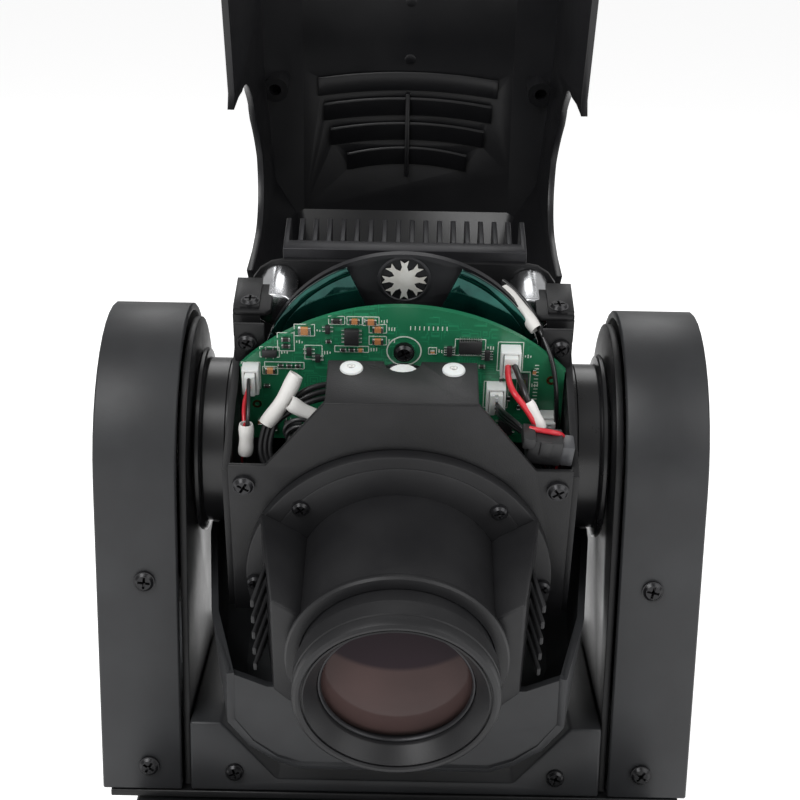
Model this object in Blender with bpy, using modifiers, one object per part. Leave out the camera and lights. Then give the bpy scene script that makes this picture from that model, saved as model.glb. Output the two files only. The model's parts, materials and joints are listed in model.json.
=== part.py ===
"""Compact moving head spot light, opened for service: base, panning yoke and tilting head.

Metres, +Z up, the lens looks along -Y. The origin is the centre of the base plate's underside, on the
pan axis. The head's pieces are placed in the head's own frame, whose X axis is the tilt axis, whose
-Y axis is the optical direction ("forward") and whose Z axis is the head's own "up".
"""

from math import acos, asin, cos, pi, radians, sin, sqrt

import bmesh
import bpy
from mathutils import Matrix, Vector

# ---------------------------------------------------------------- driving dimensions
MM = 0.001
GAP = 0.3 * MM  # between pieces that touch
RUN = 0.6 * MM  # between pieces that move past each other

BASE_WIDTH = 150 * MM
BASE_DEPTH = 150 * MM
BASE_TOP = 62 * MM
BASE_WALL = 2.6 * MM
BASE_CORNER = 14 * MM
BASE_SHOULDER = 7 * MM
PLATE_THICK = 1.5 * MM
PAD_HALF = 38 * MM
PAD_DROP = 0.4 * MM
FOOT_RADIUS = 8 * MM
FOOT_HEIGHT = 5 * MM
FOOT_INSET = 19 * MM

PANEL_WIDTH = 96 * MM
PANEL_HEIGHT = 34 * MM
PANEL_THICK = 2.4 * MM
PANEL_LIP = 4 * MM
PANEL_CENTRE = 32 * MM
DISPLAY_WIDTH = 38 * MM
DISPLAY_HEIGHT = 20 * MM
DISPLAY_OFFSET = 24 * MM
BUTTON_RADIUS = 4.2 * MM
BUTTON_PITCH = 12 * MM
BUTTON_TRAVEL = 1.2 * MM
BUTTON_PROUD = 2 * MM

INLET_WIDTH = 30 * MM
INLET_HEIGHT = 26 * MM
INLET_DEPTH = 22 * MM
SOCKET_RADIUS = 9.5 * MM
SOCKET_FLANGE = 26 * MM
SOCKET_DEPTH = 22 * MM
SOCKET_PITCH = 34 * MM
CONNECTOR_WALL = 2 * MM
FLANGE_THICK = 2.2 * MM

PAN_SHAFT_RADIUS = 12 * MM
PAN_SHAFT_BORE = 8 * MM
PAN_SHAFT_BOTTOM = 24 * MM
PAN_BEARING_RADIUS = 20 * MM
PAN_BEARING_HEIGHT = 9 * MM
PAN_PULLEY_RADIUS = 30 * MM
PAN_PULLEY_BOTTOM = 38 * MM
MOTOR_PULLEY_RADIUS = 6 * MM
PULLEY_THICK = 6 * MM
BELT_THICK = 1.2 * MM
MOTOR_SIDE = 35 * MM
MOTOR_SHAFT = 2.5 * MM
PAN_MOTOR_HEIGHT = 26 * MM
PAN_MOTOR_X = 46 * MM
PAN_MOTOR_BOTTOM = 9 * MM

YOKE_CLEARANCE = 2 * MM
YOKE_PLATE = 2 * MM
YOKE_DEPTH = 80 * MM
ARM_INNER = 59 * MM
ARM_THICK = 25 * MM
ARM_OUTER = ARM_INNER + ARM_THICK
ARM_WALL = 2.2 * MM
ARM_BEVEL = 3.5 * MM
ARM_PLATE_INSET = 4 * MM
CROSS_HEIGHT = 24 * MM
GUSSET_FLAT = 9 * MM
GUSSET_FOOT = 34 * MM
PAN_FLANGE_THICK = 1.6 * MM
ARM_RISE = 96 * MM  # from the yoke's underside to the tilt axis
YOKE_BOTTOM = BASE_TOP + YOKE_CLEARANCE
CROSS_TOP = YOKE_BOTTOM + CROSS_HEIGHT
TILT_HEIGHT = YOKE_BOTTOM + ARM_RISE
HEAD_DROOP = radians(19)

TILT_SHAFT_RADIUS = 9 * MM
TILT_BEARING_RADIUS = 14 * MM
TILT_BEARING_LENGTH = 7 * MM
TILT_HUB_RADIUS = 33 * MM
TILT_NECK_RADIUS = 12 * MM
TILT_DISC_INNER = 56.3 * MM
TILT_PULLEY_RADIUS = 24 * MM
TILT_PULLEY_X = ARM_INNER + 13 * MM
TILT_MOTOR_DROP = 62 * MM
TILT_MOTOR_LENGTH = 9 * MM

OPTIC_UP = -8 * MM
SHEET = 1.5 * MM
SIDE_OUTER = 47.8 * MM
SIDE_THICK = 2 * MM
SIDE_TOP = 46 * MM
SIDE_BOTTOM = -26 * MM
FRONT_PLATE_U = 45 * MM
FRONT_PLATE_TOP = 46 * MM
FRONT_PLATE_HALF = 46 * MM
SHELF_HALF = 20 * MM
SHELF_DEPTH = 20 * MM
SHELF_NOTCH = 5 * MM
EAR_TOP = 25 * MM
EAR_INNER = 36 * MM
REAR_PLATE_U = -25 * MM
REAR_PLATE_HALF = 45 * MM
REAR_PLATE_TOP = 46.5 * MM
REAR_PLATE_CORNER = 10 * MM
TAB_U = (-16 * MM, -1 * MM)
TAB_INNER = 40.5 * MM
PILLAR_RADIUS = 5.5 * MM
PILLAR_X = 36.5 * MM
PILLAR_UP = 40 * MM
PILLAR_FRONT = -8 * MM

SINK_HALF = 35.5 * MM
SINK_TOP = 49.5 * MM
SINK_BOTTOM = -27 * MM
SINK_BASE = 5 * MM
FIN_DEPTH = 13 * MM
FIN_THICK = 1.5 * MM
FIN_COUNT = 18
FAN_SIDE = 50 * MM
FAN_THICK = 10 * MM
FAN_UP = 0 * MM
FAN_BORE = 23 * MM
FAN_HUB = 9.5 * MM
BLADE_COUNT = 7
LED_RADIUS = 12 * MM
COLLIMATOR_LENGTH = 14 * MM

WHEEL_RADIUS = 40.5 * MM
WHEEL_RIM = 2 * MM
GOBO_HOLE = 7 * MM
GOBO_PITCH_RADIUS = WHEEL_RADIUS - WHEEL_RIM - GOBO_HOLE
WHEEL_UP = OPTIC_UP + GOBO_PITCH_RADIUS
WHEEL_HUB = 14 * MM
WHEEL_POSITIONS = 8
GOBO_WHEEL_U = -3 * MM
GOBO_WHEEL_THICK = 1.2 * MM
COLOUR_WHEEL_U = 1 * MM
COLOUR_WHEEL_THICK = 1.1 * MM
WHEEL_MOTOR_RADIUS = 10 * MM
WHEEL_MOTOR_LENGTH = 13 * MM
WHEEL_SHAFT = 1.5 * MM

BOARD_U = 8.2 * MM
BOARD_THICK = 1.6 * MM
BOARD_RADIUS = 61 * MM
BOARD_HALF = 45.3 * MM
BOARD_BOTTOM = 8 * MM

HOUSING_FLANGE_RADIUS = 41 * MM
HOUSING_FLANGE_THICK = 4 * MM
HOUSING_FLAT = -40 * MM
HOUSING_CONE_RADIUS = 36 * MM
SLEEVE_RADIUS = 31 * MM
SLEEVE_END = 76 * MM
SLEEVE_WALL = 2.2 * MM
WING_HALF = 37 * MM
WING_END = 68 * MM
WING_UP = (-36 * MM, 22 * MM)
WING_CHAMFER = 6 * MM
BARREL_REAR = 60 * MM
BARREL_STEP = 84 * MM
BARREL_FRONT = 98 * MM
BARREL_NOSE_RADIUS = 25.4 * MM
BARREL_BORE = 21 * MM
FOCUS_TRAVEL = 4 * MM
LENS_EDGE = 3 * MM
LENS_CROWN = 3.5 * MM
LENS_U = 87 * MM
LENS_RING_WALL = 2 * MM

COVER_WALL = 2 * MM
BARREL_NOTCH = SLEEVE_RADIUS + MM
FRONT_LIP_DROP = 5 * MM
FRONT_LIP_WIDTH = 10 * MM
COVER_RIM = -22 * MM
HINGE_U = -66.5 * MM
HINGE_UP = -24.5 * MM
PIN_RADIUS = 1 * MM
KNUCKLE_RADIUS = 2.2 * MM
KNUCKLE_LENGTH = 16 * MM
NECK_NOTCH = TILT_NECK_RADIUS + 2.5 * MM
NOTCH_SWING = 5 * MM
COVER_OPEN = radians(90)
LOUVRE_HALVES = (31 * MM, 29 * MM, 26.5 * MM, 20.5 * MM)  # half widths, from the roof downwards
LOUVRE_PITCH = 8.8 * MM
LOUVRE_HEIGHT = 5 * MM
LOUVRE_START = 1.6 * MM
LOUVRE_SAG = 2.5 * MM
LOUVRE_RIB = 1.2 * MM

ROUND = 28  # sides of a round piece

# ---------------------------------------------------------------- scene and collections
for old in list(bpy.data.objects):
    bpy.data.objects.remove(old)

model = bpy.data.collections.new("moving_head_light")
cutters = bpy.data.collections.new("cutters")
for collection in (model, cutters):
    bpy.context.scene.collection.children.link(collection)

TURN = {  # how a shape drawn in its own X-Y plane is turned into place
    "top": (0, 0, 0),
    "front": (pi / 2, 0, 0),  # drawing up = world up, thickness along -Y
    "side": (pi / 2, 0, pi / 2),  # drawing X = world Y, thickness along +X
}
ALONG = {"z": (0, 0, 0), "forward": (pi / 2, 0, 0), "x": (0, pi / 2, 0)}

COLOURS = {
    "base_plastic": ((0.045, 0.046, 0.049), 0.45, 0.0),
    "satin_plastic": ((0.055, 0.057, 0.060), 0.38, 0.0),
    "gloss_black": ((0.012, 0.012, 0.013), 0.15, 0.0),
    "powder_coat": ((0.016, 0.016, 0.017), 0.55, 0.0),
    "housing_black": ((0.020, 0.020, 0.021), 0.50, 0.0),
    "rubber": ((0.015, 0.015, 0.015), 0.85, 0.0),
    "zinc_steel": ((0.60, 0.61, 0.62), 0.35, 1.0),
    "aluminium": ((0.72, 0.73, 0.75), 0.30, 1.0),
    "anodised_black": ((0.020, 0.020, 0.022), 0.45, 0.8),
    "motor_steel": ((0.45, 0.46, 0.48), 0.35, 1.0),
    "board_green": ((0.012, 0.150, 0.060), 0.40, 0.0),
    "supply_board": ((0.170, 0.110, 0.040), 0.50, 0.0),
    "filter_glass": ((0.040, 0.130, 0.140), 0.08, 0.0),
    "lens_glass": ((0.140, 0.100, 0.120), 0.05, 0.0),
    "display_glass": ((0.020, 0.030, 0.045), 0.10, 0.0),
    "wire_black": ((0.012, 0.012, 0.012), 0.45, 0.0),
}


def material_of(name):
    """The one Principled material of that finish, made on first use."""
    known = bpy.data.materials.get(name)
    if known:
        return known
    colour, roughness, metallic = COLOURS[name]
    made = bpy.data.materials.new(name)
    made.use_nodes = True
    shader = made.node_tree.nodes["Principled BSDF"]
    shader.inputs["Base Color"].default_value = (*colour, 1)
    shader.inputs["Roughness"].default_value = roughness
    shader.inputs["Metallic"].default_value = metallic
    return made


# ---------------------------------------------------------------- modelling helpers
def keep(obj, finish, parent=None):
    """Move a finished piece to the model's collection, with its finish and parent."""
    for owner in list(obj.users_collection):
        owner.objects.unlink(obj)
    model.objects.link(obj)
    obj.data.materials.clear()
    obj.data.materials.append(material_of(finish))
    obj.parent = parent
    obj.data.shade_smooth()
    obj.data.set_sharp_from_angle(angle=radians(30))
    return obj


def hide_cutter(obj, parent=None):
    """Put a cutting shape among the cutters, out of the model."""
    for owner in list(obj.users_collection):
        owner.objects.unlink(obj)
    cutters.objects.link(obj)
    obj.parent = parent
    obj.hide_render = True
    obj.display_type = "WIRE"
    return obj


def mesh_object(name, build):
    """An object whose mesh is filled by build(bm)."""
    mesh = bpy.data.meshes.new(name)
    bm = bmesh.new()
    build(bm)
    bmesh.ops.recalc_face_normals(bm, faces=bm.faces)
    bm.to_mesh(mesh)
    bm.free()
    obj = bpy.data.objects.new(name, mesh)
    bpy.context.scene.collection.objects.link(obj)
    return obj


def box(name, size, centre=(0, 0, 0)):
    """A box of that size about a centre."""
    place = Matrix.Translation(centre) @ Matrix.Diagonal((*size, 1))
    return mesh_object(name, lambda bm: bmesh.ops.create_cube(bm, size=1, matrix=place))


def box_between(name, low, high):
    """A box from its lowest to its highest corner."""
    size = [b - a for a, b in zip(low, high)]
    centre = [(a + b) / 2 for a, b in zip(low, high)]
    return box(name, size, centre)


def cylinder(name, radius, low, high, centre=(0, 0), along="z", sides=ROUND):
    """A cylinder between two stations of an axis; centre is its place across that axis."""

    def build(bm):
        middle = Matrix.Translation((0, 0, (low + high) / 2))
        bmesh.ops.create_cone(bm, cap_ends=True, segments=sides, radius1=radius, radius2=radius,
                              depth=high - low, matrix=middle)

    obj = mesh_object(name, build)
    set_axis(obj, along, centre)
    return obj


def set_axis(obj, along, centre):
    """Lay a shape made about Z along another axis, through a point across that axis."""
    obj.rotation_euler = ALONG[along]
    a, b = centre
    obj.location = {"z": (a, b, 0), "forward": (a, 0, b), "x": (0, a, b)}[along]


def turned(name, profile, along="z", centre=(0, 0), sides=ROUND):
    """A turned piece: a profile of (radius, station) points, outer side top to bottom."""
    mesh = bpy.data.meshes.new(name)
    points = [(radius, 0, station) for radius, station in profile]
    edges = [(i, (i + 1) % len(points)) for i in range(len(points))]
    on_axis = profile[0][0] == 0 and profile[-1][0] == 0
    mesh.from_pydata(points, edges[:-1] if on_axis else edges, [])
    obj = bpy.data.objects.new(name, mesh)
    bpy.context.scene.collection.objects.link(obj)
    screw = obj.modifiers.new("turn", "SCREW")
    screw.steps = screw.render_steps = sides
    screw.use_merge_vertices = True
    screw.merge_threshold = 0.00001
    set_axis(obj, along, centre)
    return obj


def ring_profile(outer, inner, low, high):
    """The profile of a plain ring."""
    return [(outer, high), (outer, low), (inner, low), (inner, high)]


def outline(name, loops, thick, start, plane="top"):
    """A flat outline (its first loop) with holes, extruded from a station along the plane's normal."""
    curve = bpy.data.curves.new(name, "CURVE")
    curve.dimensions = "2D"
    curve.fill_mode = "BOTH"
    curve.extrude = thick / 2
    for loop in loops:
        spline = curve.splines.new("POLY")
        spline.points.add(len(loop) - 1)
        for point, (x, y) in zip(spline.points, loop):
            point.co = (x, y, 0, 1)
        spline.use_cyclic_u = True
    drawn = bpy.data.objects.new(name, curve)
    bpy.context.scene.collection.objects.link(drawn)
    bpy.context.view_layer.update()
    mesh = bpy.data.meshes.new_from_object(drawn.evaluated_get(bpy.context.evaluated_depsgraph_get()))
    bpy.data.objects.remove(drawn)
    bm = bmesh.new()
    bm.from_mesh(mesh)
    bmesh.ops.remove_doubles(bm, verts=bm.verts, dist=0.000001)
    bmesh.ops.recalc_face_normals(bm, faces=bm.faces)
    bm.transform(Matrix.Translation((0, 0, start + thick / 2)))
    bm.to_mesh(mesh)
    bm.free()
    obj = bpy.data.objects.new(name, mesh)
    bpy.context.scene.collection.objects.link(obj)
    obj.rotation_euler = TURN[plane]
    return obj


def tube(name, points, radius):
    """A wire along a smooth curve through hand-set points."""
    curve = bpy.data.curves.new(name, "CURVE")
    curve.dimensions = "3D"
    curve.bevel_depth = radius
    curve.bevel_resolution = 2
    curve.use_fill_caps = True
    spline = curve.splines.new("POLY")
    smooth = smooth_route(points)
    spline.points.add(len(smooth) - 1)
    for point, place in zip(spline.points, smooth):
        point.co = (*place, 1)
    obj = bpy.data.objects.new(name, curve)
    bpy.context.scene.collection.objects.link(obj)
    return obj


def smooth_route(points, steps=3):
    """Catmull-Rom points between the ends of a route."""
    route = [Vector(p) for p in points]
    padded = [2 * route[0] - route[1], *route, 2 * route[-1] - route[-2]]
    places = []
    for a, b, c, d in zip(padded, padded[1:], padded[2:], padded[3:]):
        for step in range(steps):
            t = step / steps
            places.append(0.5 * (2 * b + (c - a) * t + (2 * a - 5 * b + 4 * c - d) * t ** 2
                                 + (3 * b - a - 3 * c + d) * t ** 3))
    return [*places, route[-1]]


def combine(obj, other, operation="DIFFERENCE"):
    """Cut another shape from a piece, or join it on."""
    hide_cutter(other, other.parent)
    boolean = obj.modifiers.new(operation.lower(), "BOOLEAN")
    boolean.operation = operation
    boolean.object = other
    return obj


def cut(obj, *others):
    for other in others:
        combine(obj, other)
    return obj


def join(obj, *others):
    for other in others:
        combine(obj, other, "UNION")
    return obj


def bevel(obj, width, segments=2, angle=40):
    """Round a piece's edges sharper than the angle."""
    rounding = obj.modifiers.new("edges", "BEVEL")
    rounding.width = width
    rounding.segments = segments
    rounding.limit_method = "ANGLE"
    rounding.angle_limit = radians(angle)
    return obj


def arc(centre, radius, start, end, count):
    """Points of an arc, both ends included; angles in radians."""
    steps = [start + (end - start) * i / count for i in range(count + 1)]
    return [(centre[0] + radius * cos(a), centre[1] + radius * sin(a)) for a in steps]


def circle(centre, radius, count=ROUND):
    return arc(centre, radius, 0, 2 * pi, count)[:-1]


def rectangle(half_width, low, high, corner=0.0):
    """A rectangle about X = 0 whose corners may be round."""
    if corner == 0:
        return [(-half_width, low), (half_width, low), (half_width, high), (-half_width, high)]
    x = half_width - corner
    points = []
    for cx, cy, start in ((x, high - corner, 0), (-x, high - corner, pi / 2),
                          (-x, low + corner, pi), (x, low + corner, 3 * pi / 2)):
        points += arc((cx, cy), corner, start, start + pi / 2, 4)
    return points


def mirrored(points):
    """A half outline at +X, top to bottom, with its mirror image."""
    return [*points, *[(-x, y) for x, y in reversed(points)]]


# ---------------------------------------------------------------- fixed base
def base_housing():
    low = PLATE_THICK + GAP
    shell = outline("base_housing", [rectangle(BASE_WIDTH / 2, -BASE_DEPTH / 2, BASE_DEPTH / 2, BASE_CORNER)],
                    BASE_TOP - low, low)
    bevel(shell, BASE_SHOULDER, 2, 80)
    inner = [BASE_WIDTH / 2 - BASE_WALL, -BASE_DEPTH / 2 + BASE_WALL, BASE_DEPTH / 2 - BASE_WALL]
    cavity = outline("base_cavity", [rectangle(*inner, BASE_CORNER - BASE_WALL)],
                     BASE_TOP - BASE_SHOULDER, -BASE_WALL + PLATE_THICK)
    crown = outline("base_crown",
                    [rectangle(BASE_WIDTH / 2 - BASE_SHOULDER, -BASE_DEPTH / 2 + BASE_SHOULDER,
                               BASE_DEPTH / 2 - BASE_SHOULDER, BASE_CORNER / 2)],
                    BASE_TOP / 2, BASE_TOP / 2 - BASE_WALL)
    bearing_hole = cylinder("bearing_hole", PAN_BEARING_RADIUS + GAP, BASE_TOP - 2 * PAN_BEARING_HEIGHT,
                            BASE_TOP + BASE_WALL)
    cut(shell, cavity, crown, bearing_hole, panel_window())
    inlet, sockets = connector_places()
    for x, half, height in ((inlet, INLET_WIDTH / 2, INLET_HEIGHT),
                            *[(x, SOCKET_RADIUS, 2 * SOCKET_RADIUS) for x in sockets]):
        cut(shell, box(f"rear_hole_{x:.3f}", (2 * half + 2 * GAP, 4 * BASE_WALL, height + 2 * GAP),
                       (x, BASE_DEPTH / 2, PANEL_CENTRE)))
    keep(shell, "base_plastic")


def panel_window():
    size = (PANEL_WIDTH - 2 * PANEL_LIP, 4 * BASE_WALL, PANEL_HEIGHT - 2 * PANEL_LIP)
    return box("panel_window", size, (0, -BASE_DEPTH / 2, PANEL_CENTRE))


def connector_places():
    """Across the rear: the mains inlet, then the data sockets."""
    return -SOCKET_PITCH, (SOCKET_PITCH / 4, SOCKET_PITCH / 4 + SOCKET_PITCH)


def base_plate_and_feet():
    half = BASE_WIDTH / 2 - BASE_WALL
    plate = outline("base_plate", [rectangle(half, -BASE_DEPTH / 2 + BASE_WALL, BASE_DEPTH / 2 - BASE_WALL,
                                             BASE_CORNER)], PLATE_THICK - PAD_DROP, PAD_DROP)
    pad = outline("bracket_pad", [rectangle(PAD_HALF, -PAD_HALF, PAD_HALF, BASE_CORNER / 2)], PLATE_THICK / 2, 0)
    join(plate, pad)
    keep(plate, "powder_coat")
    for x, side in ((-1, "left"), (1, "right")):
        for y, end in ((-1, "front"), (1, "rear")):
            place = (x * (BASE_WIDTH / 2 - FOOT_INSET), y * (BASE_DEPTH / 2 - FOOT_INSET))
            foot = cylinder(f"foot_{end}_{side}", FOOT_RADIUS, -FOOT_HEIGHT, PAD_DROP - GAP, place, sides=16)
            bevel(foot, FOOT_HEIGHT / 4, 1)
            keep(foot, "rubber")


def control_panel():
    front = BASE_DEPTH / 2 + GAP
    low, high = PANEL_CENTRE - PANEL_HEIGHT / 2, PANEL_CENTRE + PANEL_HEIGHT / 2
    window = [(x - DISPLAY_OFFSET, y) for x, y in rectangle(
        DISPLAY_WIDTH / 2, PANEL_CENTRE - DISPLAY_HEIGHT / 2, PANEL_CENTRE + DISPLAY_HEIGHT / 2)]
    holes = [circle(place, BUTTON_RADIUS + RUN / 2, 16) for place in button_places()]
    panel = outline("control_panel", [rectangle(PANEL_WIDTH / 2, low, high, PANEL_LIP), window, *holes],
                    PANEL_THICK, front, "front")
    keep(panel, "gloss_black")
    glass = box("display", (DISPLAY_WIDTH - 2 * GAP, PANEL_THICK, DISPLAY_HEIGHT - 2 * GAP),
                (-DISPLAY_OFFSET, -front - PANEL_THICK / 2 + 2 * GAP, PANEL_CENTRE))
    keep(glass, "display_glass")
    for index, place in enumerate(button_places(), 1):
        top = front + PANEL_THICK + BUTTON_PROUD
        button = turned(f"button_{index}", [(0, top), (BUTTON_RADIUS * 0.8, top), (BUTTON_RADIUS, top - GAP * 2),
                                            (BUTTON_RADIUS, front - BASE_WALL), (0, front - BASE_WALL)],
                        "forward", place, 16)
        keep(button, "satin_plastic")


def button_places():
    """Four buttons in a diamond: up, down, left and right of one centre."""
    x, z = DISPLAY_OFFSET, PANEL_CENTRE
    reach = BUTTON_PITCH * 0.72
    return [(x, z + reach), (x, z - reach), (x - BUTTON_PITCH, z), (x + BUTTON_PITCH, z)]


def rear_connectors():
    inlet_x, socket_xs = connector_places()
    rear = BASE_DEPTH / 2 + GAP
    flange = box("power_inlet", (INLET_WIDTH + 4 * CONNECTOR_WALL, FLANGE_THICK, INLET_HEIGHT + 2 * CONNECTOR_WALL),
                 (inlet_x, rear + FLANGE_THICK / 2, PANEL_CENTRE))
    body = box("inlet_body", (INLET_WIDTH - 2 * GAP, INLET_DEPTH, INLET_HEIGHT - 2 * GAP),
               (inlet_x, rear - INLET_DEPTH / 2 + FLANGE_THICK / 2, PANEL_CENTRE))
    recess = box("inlet_recess", (INLET_WIDTH - 3 * CONNECTOR_WALL, INLET_DEPTH, INLET_HEIGHT - 5 * CONNECTOR_WALL),
                 (inlet_x, rear + CONNECTOR_WALL, PANEL_CENTRE))
    join(flange, body)
    cut(flange, recess)
    keep(flange, "housing_black")
    for name, x in zip(("data_in_socket", "data_out_socket"), socket_xs):
        face = box(name, (SOCKET_FLANGE, FLANGE_THICK, SOCKET_FLANGE), (x, rear + FLANGE_THICK / 2, PANEL_CENTRE))
        barrel = cylinder(f"{name}_barrel", SOCKET_RADIUS - GAP, -rear - FLANGE_THICK / 2,
                          -rear + SOCKET_DEPTH, (x, PANEL_CENTRE), "forward", 24)
        mouth = cylinder(f"{name}_mouth", SOCKET_RADIUS - CONNECTOR_WALL, -rear - 2 * FLANGE_THICK,
                         -rear + SOCKET_DEPTH - CONNECTOR_WALL, (x, PANEL_CENTRE), "forward", 24)
        join(face, barrel)
        cut(face, mouth)
        keep(face, "housing_black")


def power_board():
    floor = PLATE_THICK + 5 * MM
    board = box_between("power_board", (8 * MM, -52 * MM, floor), (62 * MM, 44 * MM, floor + 1.6 * MM))
    tops = ((18, -40, 16, 14, 14), (44, -38, 20, 18, 12), (24, -12, 22, 18, 13), (50, -8, 10, 20, 11),
            (20, 24, 14, 22, 12), (48, 26, 18, 14, 14))
    for index, (x, y, wide, deep, tall) in enumerate(tops):
        part = box_between(f"supply_part_{index}", ((x - wide / 2) * MM, (y - deep / 2) * MM, floor + MM / 2),
                           ((x + wide / 2) * MM, (y + deep / 2) * MM, floor + tall * MM))
        join(board, part)
    keep(board, "supply_board")


def pan_drive():
    bearing = turned("pan_bearing", ring_profile(PAN_BEARING_RADIUS, PAN_SHAFT_RADIUS + GAP,
                                                 BASE_TOP - PAN_BEARING_HEIGHT, BASE_TOP))
    keep(bearing, "zinc_steel")
    motor_top = PAN_MOTOR_BOTTOM + PAN_MOTOR_HEIGHT
    motor = box_between("pan_motor", (-PAN_MOTOR_X - MOTOR_SIDE / 2, -MOTOR_SIDE / 2, PAN_MOTOR_BOTTOM),
                        (-PAN_MOTOR_X + MOTOR_SIDE / 2, MOTOR_SIDE / 2, motor_top))
    bevel(motor, 3 * MM, 1, 80)
    join(motor, cylinder("pan_motor_shaft", MOTOR_SHAFT, motor_top - MM, PAN_PULLEY_BOTTOM + PULLEY_THICK + MM,
                         (-PAN_MOTOR_X, 0), sides=20))
    keep(motor, "motor_steel")
    span = (PAN_PULLEY_BOTTOM, PAN_PULLEY_BOTTOM + PULLEY_THICK)
    pulley = turned("pan_motor_pulley", ring_profile(MOTOR_PULLEY_RADIUS, MOTOR_SHAFT + GAP, *span),
                    centre=(-PAN_MOTOR_X, 0), sides=24)
    keep(pulley, "aluminium")
    large = turned("pan_pulley", ring_profile(PAN_PULLEY_RADIUS, PAN_SHAFT_RADIUS + GAP, *span))
    keep(large, "housing_black")
    keep(belt("pan_belt", (0, 0), PAN_PULLEY_RADIUS, (-PAN_MOTOR_X, 0), span[0], "top"), "rubber")


def belt(name, large_centre, large_radius, small_centre, start, plane):
    """A belt round a large and a small pulley, its inside just clear of both."""
    dx, dy = small_centre[0] - large_centre[0], small_centre[1] - large_centre[1]
    distance = sqrt(dx * dx + dy * dy)
    heading = Vector((1, 0)).angle_signed(Vector((dx, dy)), 0) * -1

    def loop(offset):
        big, small = large_radius + offset, MOTOR_PULLEY_RADIUS + offset
        lean = acos((big - small) / distance)
        wide = arc(large_centre, big, heading + lean, heading + 2 * pi - lean, 28)
        tight = arc(small_centre, small, heading - lean, heading + lean, 12)
        return wide + tight

    return outline(name, [loop(GAP + BELT_THICK), loop(GAP)], PULLEY_THICK, start, plane)


# ---------------------------------------------------------------- panning yoke
def yoke_frame():
    bottom = YOKE_BOTTOM
    top = bottom + YOKE_PLATE
    frame = box_between("yoke_frame", (-ARM_OUTER + ARM_WALL, -YOKE_DEPTH / 2, bottom),
                        (ARM_OUTER - ARM_WALL, YOKE_DEPTH / 2, top))
    half = YOKE_DEPTH / 2 - ARM_PLATE_INSET
    for side, name in ((-1, "left"), (1, "right")):
        loop = [(-half, bottom + YOKE_PLATE / 2), (half, bottom + YOKE_PLATE / 2),
                *arc((0, TILT_HEIGHT), half, 0, pi, 20)]
        start = ARM_INNER if side > 0 else -ARM_INNER - YOKE_PLATE
        hole = circle((0, TILT_HEIGHT), TILT_BEARING_RADIUS + GAP)
        join(frame, outline(f"arm_plate_{name}", [loop, hole], YOKE_PLATE, start, "side"))
    cut(frame, cylinder("pan_shaft_hole", PAN_SHAFT_RADIUS + GAP, bottom - MM, top + MM))
    keep(frame, "powder_coat")


def arm_outline(inset, foot):
    """The arm's side view: straight sides under a round top about the tilt axis."""
    half = YOKE_DEPTH / 2 - inset
    return [(-half, foot), (half, foot), *arc((0, TILT_HEIGHT), half, 0, pi, 20)]


def arm_covers():
    foot = YOKE_BOTTOM + YOKE_PLATE + GAP
    inner = ARM_INNER + YOKE_PLATE + GAP
    for side, name in ((-1, "left"), (1, "right")):
        start = inner if side > 0 else -ARM_OUTER
        cover = outline(f"arm_cover_{name}", [arm_outline(0, foot)], ARM_OUTER - inner, start, "side")
        bevel(cover, ARM_BEVEL, 2, 60)
        pocket_start = inner - ARM_BEVEL - MM if side > 0 else -ARM_OUTER + ARM_WALL
        pocket = outline(f"arm_pocket_{name}", [arm_outline(ARM_WALL, foot + ARM_WALL)],
                         ARM_OUTER - ARM_WALL - inner + ARM_BEVEL + MM, pocket_start, "side")
        cut(cover, pocket)
        keep(cover, "satin_plastic")


def crossmember_cover():
    low = YOKE_BOTTOM + YOKE_PLATE + GAP
    half, depth = ARM_INNER - GAP, YOKE_DEPTH / 2
    middle = low + PAN_FLANGE_THICK + GAP + ARM_WALL
    gusset = [(half, CROSS_TOP), (half - GUSSET_FLAT, CROSS_TOP), (GUSSET_FOOT, middle)]
    loop = [(half, low), *gusset, *[(-x, z) for x, z in reversed(gusset)], (-half, low)]
    cover = outline("crossmember_cover", [loop], 2 * depth, -depth, "front")
    lean = (CROSS_TOP - middle) / (half - GUSSET_FLAT - GUSSET_FOOT)
    shift = ARM_WALL * (sqrt(1 + lean * lean) - 1) / lean
    inner = [(half - ARM_WALL, CROSS_TOP - ARM_WALL), (half - GUSSET_FLAT + shift, CROSS_TOP - ARM_WALL),
             (GUSSET_FOOT + shift, middle - ARM_WALL)]
    hollow = [(half - ARM_WALL, low - MM), *inner, *[(-x, z) for x, z in reversed(inner)],
              (ARM_WALL - half, low - MM)]
    cut(cover, outline("crossmember_inside", [hollow], 2 * (depth - ARM_WALL), ARM_WALL - depth, "front"))
    keep(cover, "satin_plastic")


def pan_shaft():
    top = YOKE_BOTTOM + YOKE_PLATE + GAP
    flange = 2 * PAN_SHAFT_RADIUS
    rim = top + PAN_FLANGE_THICK
    shaft = turned("pan_shaft", [(flange, rim), (flange, top), (PAN_SHAFT_RADIUS, top),
                                 (PAN_SHAFT_RADIUS, PAN_SHAFT_BOTTOM), (PAN_SHAFT_BORE, PAN_SHAFT_BOTTOM),
                                 (PAN_SHAFT_BORE, rim)])
    keep(shaft, "zinc_steel")


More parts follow.
